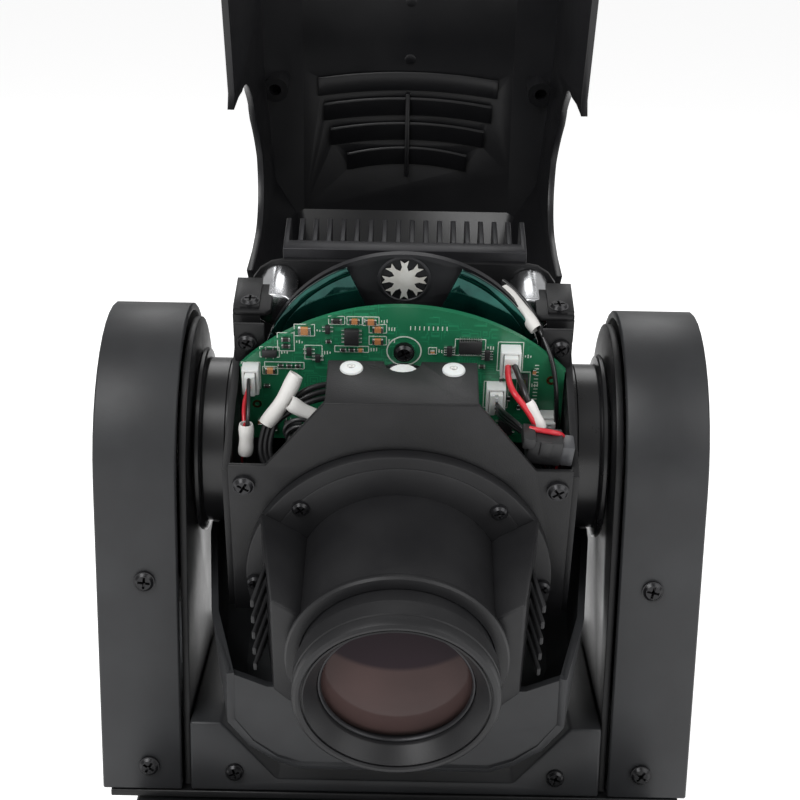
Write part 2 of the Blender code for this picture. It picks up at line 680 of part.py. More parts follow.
def tilt_drive():
    """Motor, small pulley and belt in the left arm, and a bearing in each arm."""
    for side, name in ((-1, "left"), (1, "right")):
        span = sorted((side * ARM_INNER, side * (ARM_INNER + TILT_BEARING_LENGTH)))
        bearing = turned(f"tilt_bearing_{name}", ring_profile(TILT_BEARING_RADIUS, TILT_SHAFT_RADIUS + GAP, *span),
                         "x", (0, TILT_HEIGHT))
        keep(bearing, "zinc_steel")
    inner = ARM_INNER + YOKE_PLATE + GAP
    centre = (0, TILT_HEIGHT - TILT_MOTOR_DROP)
    motor = box_between("tilt_motor", (-inner - TILT_MOTOR_LENGTH, -MOTOR_SIDE / 2, centre[1] - MOTOR_SIDE / 2),
                        (-inner, MOTOR_SIDE / 2, centre[1] + MOTOR_SIDE / 2))
    join(motor, cylinder("tilt_motor_shaft", MOTOR_SHAFT, -TILT_PULLEY_X - PULLEY_THICK - MM,
                         -inner - TILT_MOTOR_LENGTH + MM, centre, "x", 20))
    keep(motor, "motor_steel")
    span = (-TILT_PULLEY_X - PULLEY_THICK, -TILT_PULLEY_X)
    pulley = turned("tilt_motor_pulley", ring_profile(MOTOR_PULLEY_RADIUS, MOTOR_SHAFT + GAP, *span),
                    "x", centre, 24)
    keep(pulley, "aluminium")
    keep(belt("tilt_belt", (0, TILT_HEIGHT), TILT_PULLEY_RADIUS, centre, span[0], "side"), "rubber")


# ---------------------------------------------------------------- tilting head
head = bpy.data.objects.new("head_frame", None)
head.location = (0, 0, TILT_HEIGHT)
head.rotation_euler = (HEAD_DROOP, 0, 0)
model.objects.link(head)


def head_box(name, x, u, up):
    """A box in the head's frame from ranges across, forward and up."""
    return box_between(name, (x[0], -u[1], up[0]), (x[1], -u[0], up[1]))


def head_piece(obj, finish, *parts):
    """Keep a piece on the head, and its cutters with it."""
    for modifier in obj.modifiers:
        if modifier.type == "BOOLEAN":
            modifier.object.parent = head
    return keep(obj, finish, head)


def tilt_hubs():
    for side, name in ((-1, "left"), (1, "right")):
        inner, outer = SIDE_OUTER + GAP, ARM_INNER - RUN
        end = TILT_PULLEY_X + PULLEY_THICK + MM
        stations = [(0, end), (TILT_SHAFT_RADIUS, end), (TILT_SHAFT_RADIUS, outer),
                    (TILT_HUB_RADIUS - MM, outer), (TILT_HUB_RADIUS, outer - MM),
                    (TILT_HUB_RADIUS, TILT_DISC_INNER), (TILT_NECK_RADIUS, TILT_DISC_INNER),
                    (TILT_NECK_RADIUS, inner), (0, inner)]
        if side < 0:
            stations = [(radius, -station) for radius, station in reversed(stations)]
        head_piece(turned(f"tilt_hub_{name}", stations, "x", (0, 0), 40), "gloss_black")
    pulley = turned("tilt_pulley", ring_profile(TILT_PULLEY_RADIUS, TILT_SHAFT_RADIUS + GAP,
                                                -TILT_PULLEY_X - PULLEY_THICK, -TILT_PULLEY_X), "x", (0, 0))
    head_piece(pulley, "housing_black")


def side_plates():
    front, rear = FRONT_PLATE_U - SHEET - GAP, REAR_PLATE_U + GAP
    loop = [(-front, SIDE_BOTTOM), (-rear, SIDE_BOTTOM), (-rear, SIDE_TOP - 34 * MM), (-TAB_U[0], SIDE_TOP),
            (-TAB_U[1], SIDE_TOP), (-TAB_U[1] - 2 * MM, EAR_TOP + 8 * MM), (-front, EAR_TOP - 3 * MM)]
    for side, name in ((-1, "left"), (1, "right")):
        start = SIDE_OUTER - SIDE_THICK if side > 0 else -SIDE_OUTER
        plate = outline(f"side_plate_{name}", [loop], SIDE_THICK, start, "side")
        across = sorted((side * TAB_INNER, side * (SIDE_OUTER - SIDE_THICK / 2)))
        join(plate, head_box(f"tab_{name}", across, TAB_U, (SIDE_TOP - SHEET, SIDE_TOP)))
        head_piece(plate, "powder_coat")


def front_plate():
    half = [(SHELF_HALF, FRONT_PLATE_TOP), (EAR_INNER, EAR_TOP), (FRONT_PLATE_HALF, EAR_TOP),
            (FRONT_PLATE_HALF, SIDE_BOTTOM)]
    window = circle((0, OPTIC_UP), BARREL_BORE, 32)
    plate = outline("front_plate", [mirrored(half), window], SHEET, FRONT_PLATE_U - SHEET, "front")
    shelf_rear = FRONT_PLATE_U - SHELF_DEPTH
    shelf = head_box("shelf", (-SHELF_HALF, SHELF_HALF), (shelf_rear, FRONT_PLATE_U),
                     (FRONT_PLATE_TOP - SHEET, FRONT_PLATE_TOP))
    notch = cylinder("shelf_notch", SHELF_NOTCH, FRONT_PLATE_TOP - 2 * SHEET, FRONT_PLATE_TOP + SHEET,
                     (0, -shelf_rear), sides=24)
    join(plate, shelf)
    cut(plate, notch)
    head_piece(plate, "powder_coat")


def rear_plate_and_pillars():
    loop = rectangle(REAR_PLATE_HALF, SIDE_BOTTOM, REAR_PLATE_TOP, REAR_PLATE_CORNER)
    plate = outline("rear_plate", [loop, circle((0, OPTIC_UP), LED_RADIUS + 2 * MM, 32)], SHEET,
                    REAR_PLATE_U - SHEET, "front")
    head_piece(plate, "powder_coat")
    for side, name in ((-1, "left"), (1, "right")):
        pillar = cylinder(f"pillar_{name}", PILLAR_RADIUS, REAR_PLATE_U + GAP, PILLAR_FRONT,
                          (side * PILLAR_X, PILLAR_UP), "forward", 20)
        bevel(pillar, MM / 2, 1)
        head_piece(pillar, "aluminium")


def sink_base_front():
    return REAR_PLATE_U - SHEET - GAP


def heat_sink():
    """A comb of fins on a base, drawn from above."""
    front = sink_base_front()
    fin_root, fin_end = front - SINK_BASE, front - SINK_BASE - FIN_DEPTH
    pitch = (2 * SINK_HALF - FIN_THICK) / (FIN_COUNT - 1)
    loop = [(SINK_HALF, -front), (-SINK_HALF, -front)]
    for index in range(FIN_COUNT):
        left = -SINK_HALF + index * pitch
        loop += [(left, -fin_root), (left, -fin_end), (left + FIN_THICK, -fin_end), (left + FIN_THICK, -fin_root)]
    del loop[2]
    del loop[-1]
    sink = outline("heat_sink", [loop], SINK_TOP - SINK_BOTTOM, SINK_BOTTOM)
    head_piece(sink, "anodised_black")


def light_engine():
    front = sink_base_front()
    board = cylinder("led_board", LED_RADIUS, front + GAP, front + GAP + SHEET, (0, OPTIC_UP), "forward", 32)
    head_piece(board, "aluminium")
    rear = front + 2 * GAP + SHEET
    end = rear + COLLIMATOR_LENGTH
    lens = turned("collimator", [(0, end), (LED_RADIUS, end), (LED_RADIUS, end - 2 * MM), (LED_RADIUS / 2, rear),
                                 (0, rear)], "forward", (0, OPTIC_UP), 32)
    head_piece(lens, "lens_glass")


def fan():
    """A square frame with a three-arm rear grille, and a rotor of straight blades inside it."""
    front = sink_base_front() - SINK_BASE - FIN_DEPTH - MM
    rear = front - FAN_THICK
    half = FAN_SIDE / 2
    frame = outline("fan_frame", [rectangle(half, FAN_UP - half, FAN_UP + half, 3 * MM),
                                  circle((0, FAN_UP), FAN_BORE)], FAN_THICK, rear, "front")
    inset = rear + GAP
    spider = cylinder("fan_spider", FAN_HUB, inset, inset + SHEET, (0, FAN_UP), "forward", 28)
    join(frame, spider)
    arm_length = FAN_BORE - FAN_HUB + 2 * MM
    for index in range(3):
        arm = box(f"fan_arm_{index}", (arm_length, SHEET - GAP, 2 * MM),
                  (FAN_HUB - MM + arm_length / 2, -inset - SHEET / 2, 0))
        arm.location = (0, 0, FAN_UP)
        arm.rotation_euler = (0, radians(90 + 120 * index), 0)
        join(frame, arm)
    head_piece(frame, "housing_black")
    low, high = inset + SHEET + RUN, front - RUN
    rotor = cylinder("fan_rotor", FAN_HUB, low, high, (0, FAN_UP), "forward", 28)
    for index in range(BLADE_COUNT):
        reach = FAN_BORE - RUN
        blade = box(f"blade_{index}", (SHEET, high - low - SHEET, reach - FAN_HUB / 2),
                    (0, -(low + high) / 2, (reach + FAN_HUB / 2) / 2))
        blade.data.transform(Matrix.Rotation(radians(25), 4, "Z") @ Matrix.Identity(4))
        blade.data.transform(Matrix.Translation((-(low + high) / 2 * sin(radians(25)), 0, 0)))
        blade.location = (0, -(low + high) / 2 * (1 - cos(radians(25))), FAN_UP)
        blade.rotation_euler = (0, 2 * pi * index / BLADE_COUNT, 0)
        join(rotor, blade)
    head_piece(rotor, "housing_black")


def wheels():
    """The gobo wheel, and before it the colour wheel's hub and its ring of filters with one open place."""
    centre = (0, WHEEL_UP)
    holes = [circle(spot, GOBO_HOLE, 14) for spot in arc(centre, GOBO_PITCH_RADIUS, pi / 2, 5 * pi / 2,
                                                        WHEEL_POSITIONS)[:-1]]
    gobo = outline("gobo_wheel", [circle(centre, WHEEL_RADIUS, 40), circle(centre, WHEEL_SHAFT + GAP, 20), *holes],
                   GOBO_WHEEL_THICK, GOBO_WHEEL_U, "front")
    rebase(gobo, centre)
    head_piece(gobo, "anodised_black")
    span = (COLOUR_WHEEL_U, COLOUR_WHEEL_U + 2 * COLOUR_WHEEL_THICK)
    hub = turned("colour_wheel_hub", ring_profile(WHEEL_HUB, WHEEL_SHAFT + GAP, *span), "forward", centre)
    head_piece(hub, "aluminium")
    half_gap = pi / WHEEL_POSITIONS
    start, end = pi / 2 + half_gap, pi / 2 + 2 * pi - half_gap
    loop = arc(centre, WHEEL_RADIUS, start, end, 36) + arc(centre, WHEEL_HUB + GAP, end, start, 28)
    filters = outline("colour_filters", [loop], COLOUR_WHEEL_THICK, COLOUR_WHEEL_U, "front")
    rebase(filters, centre)
    head_piece(filters, "filter_glass")
    motor_start = span[1] + RUN + MM
    wheel_motor("colour_wheel_motor", motor_start, motor_start + WHEEL_MOTOR_LENGTH, COLOUR_WHEEL_U + GAP,
                motor_start)
    motor_end = GOBO_WHEEL_U - RUN - MM
    wheel_motor("gobo_wheel_motor", motor_end - WHEEL_MOTOR_LENGTH, motor_end, motor_end,
                GOBO_WHEEL_U + GOBO_WHEEL_THICK - GAP)


def rebase(obj, centre):
    """Give a flat piece drawn in the head's frame its origin on a wheel's axis."""
    obj.data.transform(Matrix.Translation((-centre[0], -centre[1], 0)))
    obj.location = (centre[0], 0, centre[1])


def wheel_motor(name, low, high, shaft_low, shaft_high):
    motor = cylinder(name, WHEEL_MOTOR_RADIUS, low, high, (0, WHEEL_UP), "forward", 32)
    join(motor, cylinder(f"{name}_shaft", WHEEL_SHAFT, shaft_low - (MM if shaft_low == high else 0),
                         shaft_high + (MM if shaft_high == low else 0), (0, WHEEL_UP), "forward", 16))
    head_piece(motor, "motor_steel")


def control_board():
    """A round-topped board with flat sides, cut out round the colour wheel's motor."""
    side = asin(BOARD_HALF / BOARD_RADIUS)
    top = arc((0, OPTIC_UP), BOARD_RADIUS, pi / 2 - side, pi / 2 + side, 20)
    loop = [(-BOARD_HALF, BOARD_BOTTOM), (BOARD_HALF, BOARD_BOTTOM), *top]
    hole = circle((0, WHEEL_UP), WHEEL_MOTOR_RADIUS + 1.5 * MM, 28)
    head_piece(outline("control_board", [loop, hole], BOARD_THICK, BOARD_U, "front"), "board_green")


def lens_assembly():
    rear = FRONT_PLATE_U + GAP
    face = rear + HOUSING_FLANGE_THICK
    side = acos((HOUSING_FLAT - OPTIC_UP) / HOUSING_FLANGE_RADIUS)
    flange_loop = arc((0, OPTIC_UP), HOUSING_FLANGE_RADIUS, pi / 2 - side, pi / 2 + side, 32)
    housing = outline("lens_housing", [flange_loop], HOUSING_FLANGE_THICK, rear, "front")
    cone = turned("housing_cone", [(0, SLEEVE_END), (SLEEVE_RADIUS, SLEEVE_END), (SLEEVE_RADIUS, WING_END),
                                   (HOUSING_CONE_RADIUS, face), (HOUSING_CONE_RADIUS, rear + MM), (0, rear + MM)],
                  "forward", (0, OPTIC_UP), 36)
    low, high = WING_UP
    wing_loop = mirrored([(WING_HALF - WING_CHAMFER, high), (WING_HALF, high - WING_CHAMFER),
                          (WING_HALF, low + 2 * WING_CHAMFER), (WING_HALF - 2 * WING_CHAMFER, low)])
    wings = outline("housing_wings", [wing_loop], WING_END - 4 * MM - face + MM, face - MM, "front")
    bore = cylinder("sleeve_bore", SLEEVE_RADIUS - SLEEVE_WALL, face, SLEEVE_END + MM, (0, OPTIC_UP), "forward", 48)
    entry = cylinder("light_entry", BARREL_BORE, rear - MM, face + MM, (0, OPTIC_UP), "forward", 48)
    join(housing, cone, wings)
    cut(housing, bore, entry)
    head_piece(housing, "housing_black")

    fit = SLEEVE_RADIUS - SLEEVE_WALL - GAP
    nose = BARREL_NOSE_RADIUS
    barrel = turned("lens_barrel",
                    [(nose - MM, BARREL_FRONT), (nose, BARREL_FRONT - MM), (nose, BARREL_STEP + 2 * MM),
                     (fit, BARREL_STEP), (fit, BARREL_REAR), (BARREL_BORE, BARREL_REAR),
                     (BARREL_BORE, BARREL_FRONT - 3 * MM), (BARREL_BORE + 2 * MM, BARREL_FRONT)],
                    "forward", (0, OPTIC_UP), 40)
    head_piece(barrel, "housing_black")
    rim = BARREL_BORE - GAP
    crown = [(rim * sin(a), LENS_U + LENS_EDGE + LENS_CROWN * (cos(a) ** 2))
             for a in (0, pi / 6, pi / 3, pi / 2)]
    lens = turned("front_lens", [*crown, (rim, LENS_U), (0, LENS_U)], "forward", (0, OPTIC_UP), 36)
    head_piece(lens, "lens_glass")
    ring = turned("lens_ring", ring_profile(rim, rim - LENS_RING_WALL, LENS_U + LENS_EDGE + 3 * GAP,
                                            LENS_U + LENS_EDGE + 3 * GAP + SHEET), "forward", (0, OPTIC_UP), 36)
    head_piece(ring, "housing_black")


# Half sections of the covers, each at a station along the head: (forward, [(across, up), ...] in mm, from
# the middle outwards). The sections have unlike shapes, so the shells are lofted between them.
TOP_SECTIONS = (
    (70, [(0, 68), (38, 68), (53, 52), (55, -22)]),
    (36, [(0, 68), (38, 68), (52, 52), (54.2, -22)]),
    (16, [(0, 68), (38, 68), (51.8, 52), (55.7, -22)]),
    (4, [(0, 68), (38, 68), (51.3, 52), (55.7, -22)]),
    (-32, [(0, 57.92), (37.8, 57.92), (48.6, 50), (50, -22)]),
    (-46, [(0, 54), (37.6, 54), (41, 50), (44, -22)]),
    (-64, [(0, 30), (27, 30), (34, 24), (38, -22)]),
)
LOWER_SECTIONS = (
    (78, [(0, -55), (26, -55), (33, -52), (40, -46), (45.5, -37), (45, -19)]),
    (50, [(0, -47), (28, -47), (36, -46.5), (44, -44), (50.5, -38), (52, -22.6)]),
    (16, [(0, -49), (29, -49), (37, -48), (45, -45.5), (52, -38), (55.7, -22.6)]),
    (4, [(0, -50), (30, -50), (38, -49), (45, -46), (51.5, -39), (55.7, -22.6)]),
    (-32, [(0, -45), (29, -45), (36, -44), (42.5, -41), (48, -35), (50, -23)]),
    (-46, [(0, -38), (26, -38), (32, -37), (37, -35), (41, -32), (44, -23.4)]),
    (-64, [(0, -28), (24, -28), (29, -27.6), (32, -27), (35, -26), (38, -23.4)]),
)


def lofted_shell(name, sections):
    """A half shell through the sections, closed at the rear, mirrored and thickened inwards."""

    def build(bm):
        rows = []
        for u, half in sections:
            rows.append([bm.verts.new((x * MM, -u * MM, up * MM)) for x, up in half])
        for front, rear in zip(rows, rows[1:]):
            for a, b, c, d in zip(front, front[1:], rear[1:], rear):
                bm.faces.new((a, b, c, d))
        rear = rows[-1]
        corner = bm.verts.new((0, rear[-1].co.y, rear[-1].co.z))
        bm.faces.new((*rear, corner))

    shell = mesh_object(name, build)
    mirror = shell.modifiers.new("halves", "MIRROR")
    mirror.use_axis = (True, False, False)
    mirror.merge_threshold = 0.00001
    wall = shell.modifiers.new("wall", "SOLIDIFY")
    wall.thickness = COVER_WALL
    wall.offset = -1
    wall.use_even_offset = True
    return shell


def hub_notch(name):
    """The clearance in the top cover's sides: round over the hub necks, open at the rim to swing past them."""
    front = NECK_NOTCH + NOTCH_SWING
    low = COVER_RIM - MM
    loop = [(-NECK_NOTCH, low), (-NECK_NOTCH, 0), *arc((0, 0), NECK_NOTCH, pi, 0, 24)[1:-1], (NECK_NOTCH, 0)]
    flared = [(-front, low), (-front, COVER_RIM + NOTCH_SWING), *loop[1:], (NECK_NOTCH, low)]
    return outline(name, [flared], 2 * ARM_OUTER, -ARM_OUTER, "side")


def hinge_knuckle(name, x):
    low, high = x
    return cylinder(name, KNUCKLE_RADIUS, low, high, (-HINGE_U, HINGE_UP), "x", 20)


def hinge_bore(name):
    return cylinder(name, PIN_RADIUS + GAP, -ARM_OUTER, ARM_OUTER, (-HINGE_U, HINGE_UP), "x", 20)


def lower_front_wall():
    """The wall under the lens, from the front section's outline up to a round clearance for the barrel."""
    front_u, half = LOWER_SECTIONS[0]
    edge = [(x * MM, up * MM) for x, up in half[1:]]
    lip = edge[-1][1] - FRONT_LIP_DROP
    rise = asin((lip - OPTIC_UP) / BARREL_NOTCH)
    below = arc((0, OPTIC_UP), BARREL_NOTCH, rise, -pi - rise, 24)
    reach = edge[-1][0] - FRONT_LIP_WIDTH
    loop = [*edge, (reach, lip), *below, (-reach, lip), *[(-x, up) for x, up in reversed(edge)]]
    inset = [(x - (COVER_WALL / 4 if x > 0 else -COVER_WALL / 4), up) for x, up in loop]
    start = front_u * MM - COVER_WALL - COVER_WALL / 4
    return outline("lower_front_wall", [inset], COVER_WALL, start, "front")


def lower_cover():
    shell = lofted_shell("lower_cover", LOWER_SECTIONS)
    rear = HINGE_U
    join(shell, lower_front_wall())
    for side in (-1, 1):
        across = sorted((side * (KNUCKLE_LENGTH / 2 + GAP), side * 1.5 * KNUCKLE_LENGTH))
        join(shell, hinge_knuckle(f"lower_knuckle_{side}", across),
             head_box(f"lower_leaf_{side}", across, (rear + PIN_RADIUS + 2 * GAP, -64 * MM + COVER_WALL / 2),
                      (HINGE_UP - KNUCKLE_RADIUS + MM / 2, HINGE_UP)))
    cut(shell, hinge_bore("lower_hinge_bore"))
    head_piece(shell, "satin_plastic")
    pin = cylinder("hinge_pin", PIN_RADIUS, -1.5 * KNUCKLE_LENGTH, 1.5 * KNUCKLE_LENGTH, (-HINGE_U, HINGE_UP),
                   "x", 20)
    head_piece(pin, "zinc_steel")


def louvre_cutter(index, half):
    """One curved louvre slot, to lie across the sloping rear of the cover."""
    sag = LOUVRE_SAG
    radius = (half * half + sag * sag) / (2 * sag)
    reach = asin(half / radius)
    low = arc((0, radius), radius, -pi / 2 - reach, -pi / 2 + reach, 12)
    high = [(x, y + LOUVRE_HEIGHT) for x, y in reversed(low)]
    return outline(f"louvre_{index}", [[*low, *high]], 12 * MM, -6 * MM)


def top_cover():
    """The upper shell: drawn closed, cut, then swung open about the hinge pin."""
    hinge = bpy.data.objects.new("cover_hinge", None)
    hinge.parent = head
    hinge.location = (0, -HINGE_U, HINGE_UP)
    hinge.rotation_euler = (-COVER_OPEN, 0, 0)
    model.objects.link(hinge)

    shell = lofted_shell("top_cover", TOP_SECTIONS)
    (top_u, top_half), (low_u, low_half) = TOP_SECTIONS[3], TOP_SECTIONS[5]
    slope_top = Vector((-top_u, top_half[0][1])) * MM
    slope_low = Vector((-low_u, low_half[0][1])) * MM
    along = (slope_low - slope_top).normalized()
    lean = asin(-along.y)
    parts = [hub_notch("top_hub_notch")]
    for index, half in enumerate(LOUVRE_HALVES):
        slot = louvre_cutter(index, half)
        place = slope_top + along * (LOUVRE_START + LOUVRE_PITCH * index)
        slot.location = (0, place.x, place.y)
        slot.rotation_euler = (-lean, 0, 0)
        parts.append(slot)
    cut(shell, *parts)
    rib_length = LOUVRE_PITCH * len(LOUVRE_HALVES)
    rib = box("louvre_rib", (2 * LOUVRE_RIB, rib_length, COVER_WALL - 2 * GAP),
              (0, rib_length / 2 + LOUVRE_START, -COVER_WALL / 2))
    rib.location = (0, slope_top.x, slope_top.y)
    rib.rotation_euler = (-lean, 0, 0)
    across = (-KNUCKLE_LENGTH / 2, KNUCKLE_LENGTH / 2)
    leaf = head_box("top_leaf", across, (HINGE_U - KNUCKLE_RADIUS, -64 * MM - COVER_WALL / 4),
                    (HINGE_UP, COVER_RIM + 4 * MM))
    inset = (-KNUCKLE_LENGTH / 2 + GAP, KNUCKLE_LENGTH / 2 - GAP)
    tongue = head_box("top_tongue", inset, (HINGE_U - KNUCKLE_RADIUS, -64 * MM + COVER_WALL / 2),
                      (COVER_RIM + MM, COVER_RIM + 3 * MM))
    join(shell, rib, hinge_knuckle("top_knuckle", across), leaf, tongue)
    cut(shell, hinge_bore("top_hinge_bore"))
    closed = Matrix.Translation((0, HINGE_U, -HINGE_UP))
    keep(shell, "gloss_black", hinge)
    shell.matrix_parent_inverse = closed
    for modifier in shell.modifiers:
        if modifier.type == "BOOLEAN":
            modifier.object.parent = hinge
            modifier.object.matrix_parent_inverse = closed


def leads():
    """Two of the looms between the boards, motors and fan, routed inside the head's sides."""
    left = [(-30, 12, 30), (-36, 18, 34), (-41, 22, 28), (-43, 28, 18), (-38, 33, 12), (-30, 34, 16),
            (-26, 30, 26), (-30, 24, 33), (-38, 21, 20), (-43, 16, 6), (-44, 4, -14), (-42, -16, -26)]
    right = [(30, 14, 34), (35, 20, 36), (40, 26, 30), (43, 30, 20), (40, 33, 10), (33, 32, 14), (36, 26, 24),
             (42, 18, 8), (44, 4, -14), (42, -16, -26)]
    for name, route in (("left_loom", left), ("right_loom", right)):
        points = [(x * MM, -u * MM, up * MM) for x, u, up in route]
        obj = tube(name, points, 1.1 * MM)
        for owner in list(obj.users_collection):
            owner.objects.unlink(obj)
        model.objects.link(obj)
        obj.data.materials.append(material_of("wire_black"))
        obj.parent = head


base_housing()
base_plate_and_feet()
control_panel()
rear_connectors()
power_board()
pan_drive()
yoke_frame()
arm_covers()
crossmember_cover()
pan_shaft()
tilt_drive()
tilt_hubs()
side_plates()
front_plate()
rear_plate_and_pillars()
heat_sink()
light_engine()
fan()
wheels()
control_board()
lens_assembly()
lower_cover()
top_cover()
leads()
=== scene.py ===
import json
import random
from math import acos, atan2, cos, pi, radians, sin

import bmesh
import bpy
from mathutils import Matrix, Vector


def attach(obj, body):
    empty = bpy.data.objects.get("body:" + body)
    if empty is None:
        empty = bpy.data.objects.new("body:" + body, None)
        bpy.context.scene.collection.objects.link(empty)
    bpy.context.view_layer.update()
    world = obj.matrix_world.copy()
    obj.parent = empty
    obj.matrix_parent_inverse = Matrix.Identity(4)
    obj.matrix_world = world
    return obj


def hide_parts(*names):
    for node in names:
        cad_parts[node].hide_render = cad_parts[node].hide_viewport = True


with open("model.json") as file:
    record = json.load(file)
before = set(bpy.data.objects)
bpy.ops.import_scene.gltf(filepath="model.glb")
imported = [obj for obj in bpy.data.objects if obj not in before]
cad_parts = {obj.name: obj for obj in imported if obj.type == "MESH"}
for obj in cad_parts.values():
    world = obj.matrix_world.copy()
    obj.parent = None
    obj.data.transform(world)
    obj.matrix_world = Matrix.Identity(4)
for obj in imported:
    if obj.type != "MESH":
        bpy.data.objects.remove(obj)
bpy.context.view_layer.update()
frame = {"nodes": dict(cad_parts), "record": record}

MM = 0.001
IDENTITY = Matrix.Identity(4)
FORWARD = Matrix.Rotation(pi / 2, 4, "X")  # a piece turned about Z points its Z along the light
SIDEWAYS = Matrix.Rotation(pi / 2, 4, "Y")

# ---------------------------------------------------------------- the places of the moving parts
TILT_HEIGHT = 160 * MM
HEAD_DROOP = radians(19)
HINGE = (66.5 * MM, -24.5 * MM)
OPTIC_UP = -8
WHEEL_UP = 23.5
HEAD = Matrix.Translation((0, 0, TILT_HEIGHT)) @ Matrix.Rotation(HEAD_DROOP, 4, "X")
COVER = (HEAD @ Matrix.Translation((0, *HINGE)) @ Matrix.Rotation(-pi / 2, 4, "X")
         @ Matrix.Translation((0, -HINGE[0], -HINGE[1])))
BODY_OF = {node: body for body, nodes in frame["record"]["behaviour"]["bodies"].items() for node in nodes}
SLOT_OF = {part["node"]: part["material_slot"] for part in frame["record"]["subparts"]}


def spot(x, forward, up):
    """A place in the head, given in millimetres across, forward and up."""
    return Vector((x, -forward, up)) * MM


# ---------------------------------------------------------------- finishes
def socket_values(shader, **values):
    for name, value in values.items():
        shader.inputs[name.replace("_", " ")].default_value = value


def finish(name, dark, light, rough, grain=1800, depth=0.04, metallic=0.0, mottle=60, stretch=(1, 1, 1),
           **more):
    """A surface with its own colour drift, worn and fresh patches of gloss, and a fine grain."""
    material = bpy.data.materials.new(name)
    material.use_nodes = True
    nodes, links = material.node_tree.nodes, material.node_tree.links
    shader = nodes["Principled BSDF"]
    socket_values(shader, Metallic=metallic, **more)
    place = nodes.new("ShaderNodeTexCoord")
    mapping = nodes.new("ShaderNodeMapping")
    mapping.inputs["Scale"].default_value = stretch
    links.new(place.outputs["Object"], mapping.inputs["Vector"])
    cloud = nodes.new("ShaderNodeTexNoise")
    cloud.inputs["Scale"].default_value = mottle
    cloud.inputs["Detail"].default_value = 6
    links.new(mapping.outputs["Vector"], cloud.inputs["Vector"])
    colours = nodes.new("ShaderNodeValToRGB")
    colours.color_ramp.elements[0].position = 0.35
    colours.color_ramp.elements[0].color = (*dark, 1)
    colours.color_ramp.elements[1].position = 0.7
    colours.color_ramp.elements[1].color = (*light, 1)
    links.new(cloud.outputs["Fac"], colours.inputs["Fac"])
    links.new(colours.outputs["Color"], shader.inputs["Base Color"])
    wear = nodes.new("ShaderNodeTexNoise")
    wear.inputs["Scale"].default_value = mottle * 0.37
    wear.inputs["Detail"].default_value = 9
    wear.inputs["Roughness"].default_value = 0.7
    links.new(mapping.outputs["Vector"], wear.inputs["Vector"])
    gloss = nodes.new("ShaderNodeMapRange")
    gloss.inputs["From Min"].default_value = 0.3
    gloss.inputs["From Max"].default_value = 0.7
    gloss.inputs["To Min"].default_value = rough[0]
    gloss.inputs["To Max"].default_value = rough[1]
    links.new(wear.outputs["Fac"], gloss.inputs["Value"])
    links.new(gloss.outputs["Result"], shader.inputs["Roughness"])
    fine = nodes.new("ShaderNodeTexNoise")
    fine.inputs["Scale"].default_value = grain
    fine.inputs["Detail"].default_value = 3
    links.new(mapping.outputs["Vector"], fine.inputs["Vector"])
    bump = nodes.new("ShaderNodeBump")
    bump.inputs["Strength"].default_value = 0.6
    bump.inputs["Distance"].default_value = depth * MM
    links.new(fine.outputs["Fac"], bump.inputs["Height"])
    links.new(bump.outputs["Normal"], shader.inputs["Normal"])
    return material


def lacquered_board(name, mask, track, drift):
    """Solder mask over copper tracks that run in short straight lengths, with vias."""
    material = finish(name, mask, drift, (0.28, 0.42), 2500, 0.01, mottle=40, Coat_Weight=0.4,
                      Coat_Roughness=0.15)
    nodes, links = material.node_tree.nodes, material.node_tree.links
    shader = nodes["Principled BSDF"]
    base = shader.inputs["Base Color"].links[0].from_socket
    place = nodes.new("ShaderNodeTexCoord")
    tracks = nodes.new("ShaderNodeTexVoronoi")
    tracks.distance = "CHEBYCHEV"
    tracks.feature = "F1"
    tracks.inputs["Scale"].default_value = 260
    tracks.inputs["Randomness"].default_value = 0.75
    links.new(place.outputs["Object"], tracks.inputs["Vector"])
    steps = nodes.new("ShaderNodeMath")
    steps.operation = "PINGPONG"
    steps.inputs[1].default_value = 0.09
    links.new(tracks.outputs["Distance"], steps.inputs[0])
    edge = nodes.new("ShaderNodeMapRange")
    edge.inputs["From Min"].default_value = 0.055
    edge.inputs["From Max"].default_value = 0.065
    links.new(steps.outputs["Value"], edge.inputs["Value"])
    regions = nodes.new("ShaderNodeTexNoise")
    regions.inputs["Scale"].default_value = 90
    links.new(place.outputs["Object"], regions.inputs["Vector"])
    where = nodes.new("ShaderNodeMapRange")
    where.inputs["From Min"].default_value = 0.48
    where.inputs["From Max"].default_value = 0.52
    where.inputs["To Max"].default_value = 0.8
    links.new(regions.outputs["Fac"], where.inputs["Value"])
    both = nodes.new("ShaderNodeMath")
    both.operation = "MULTIPLY"
    links.new(edge.outputs["Result"], both.inputs[0])
    links.new(where.outputs["Result"], both.inputs[1])
    mix = nodes.new("ShaderNodeMix")
    mix.data_type = "RGBA"
    mix.inputs[7].default_value = (*track, 1)
    links.new(both.outputs["Value"], mix.inputs["Factor"])
    links.new(base, mix.inputs[6])
    links.new(mix.outputs[2], shader.inputs["Base Color"])
    return material


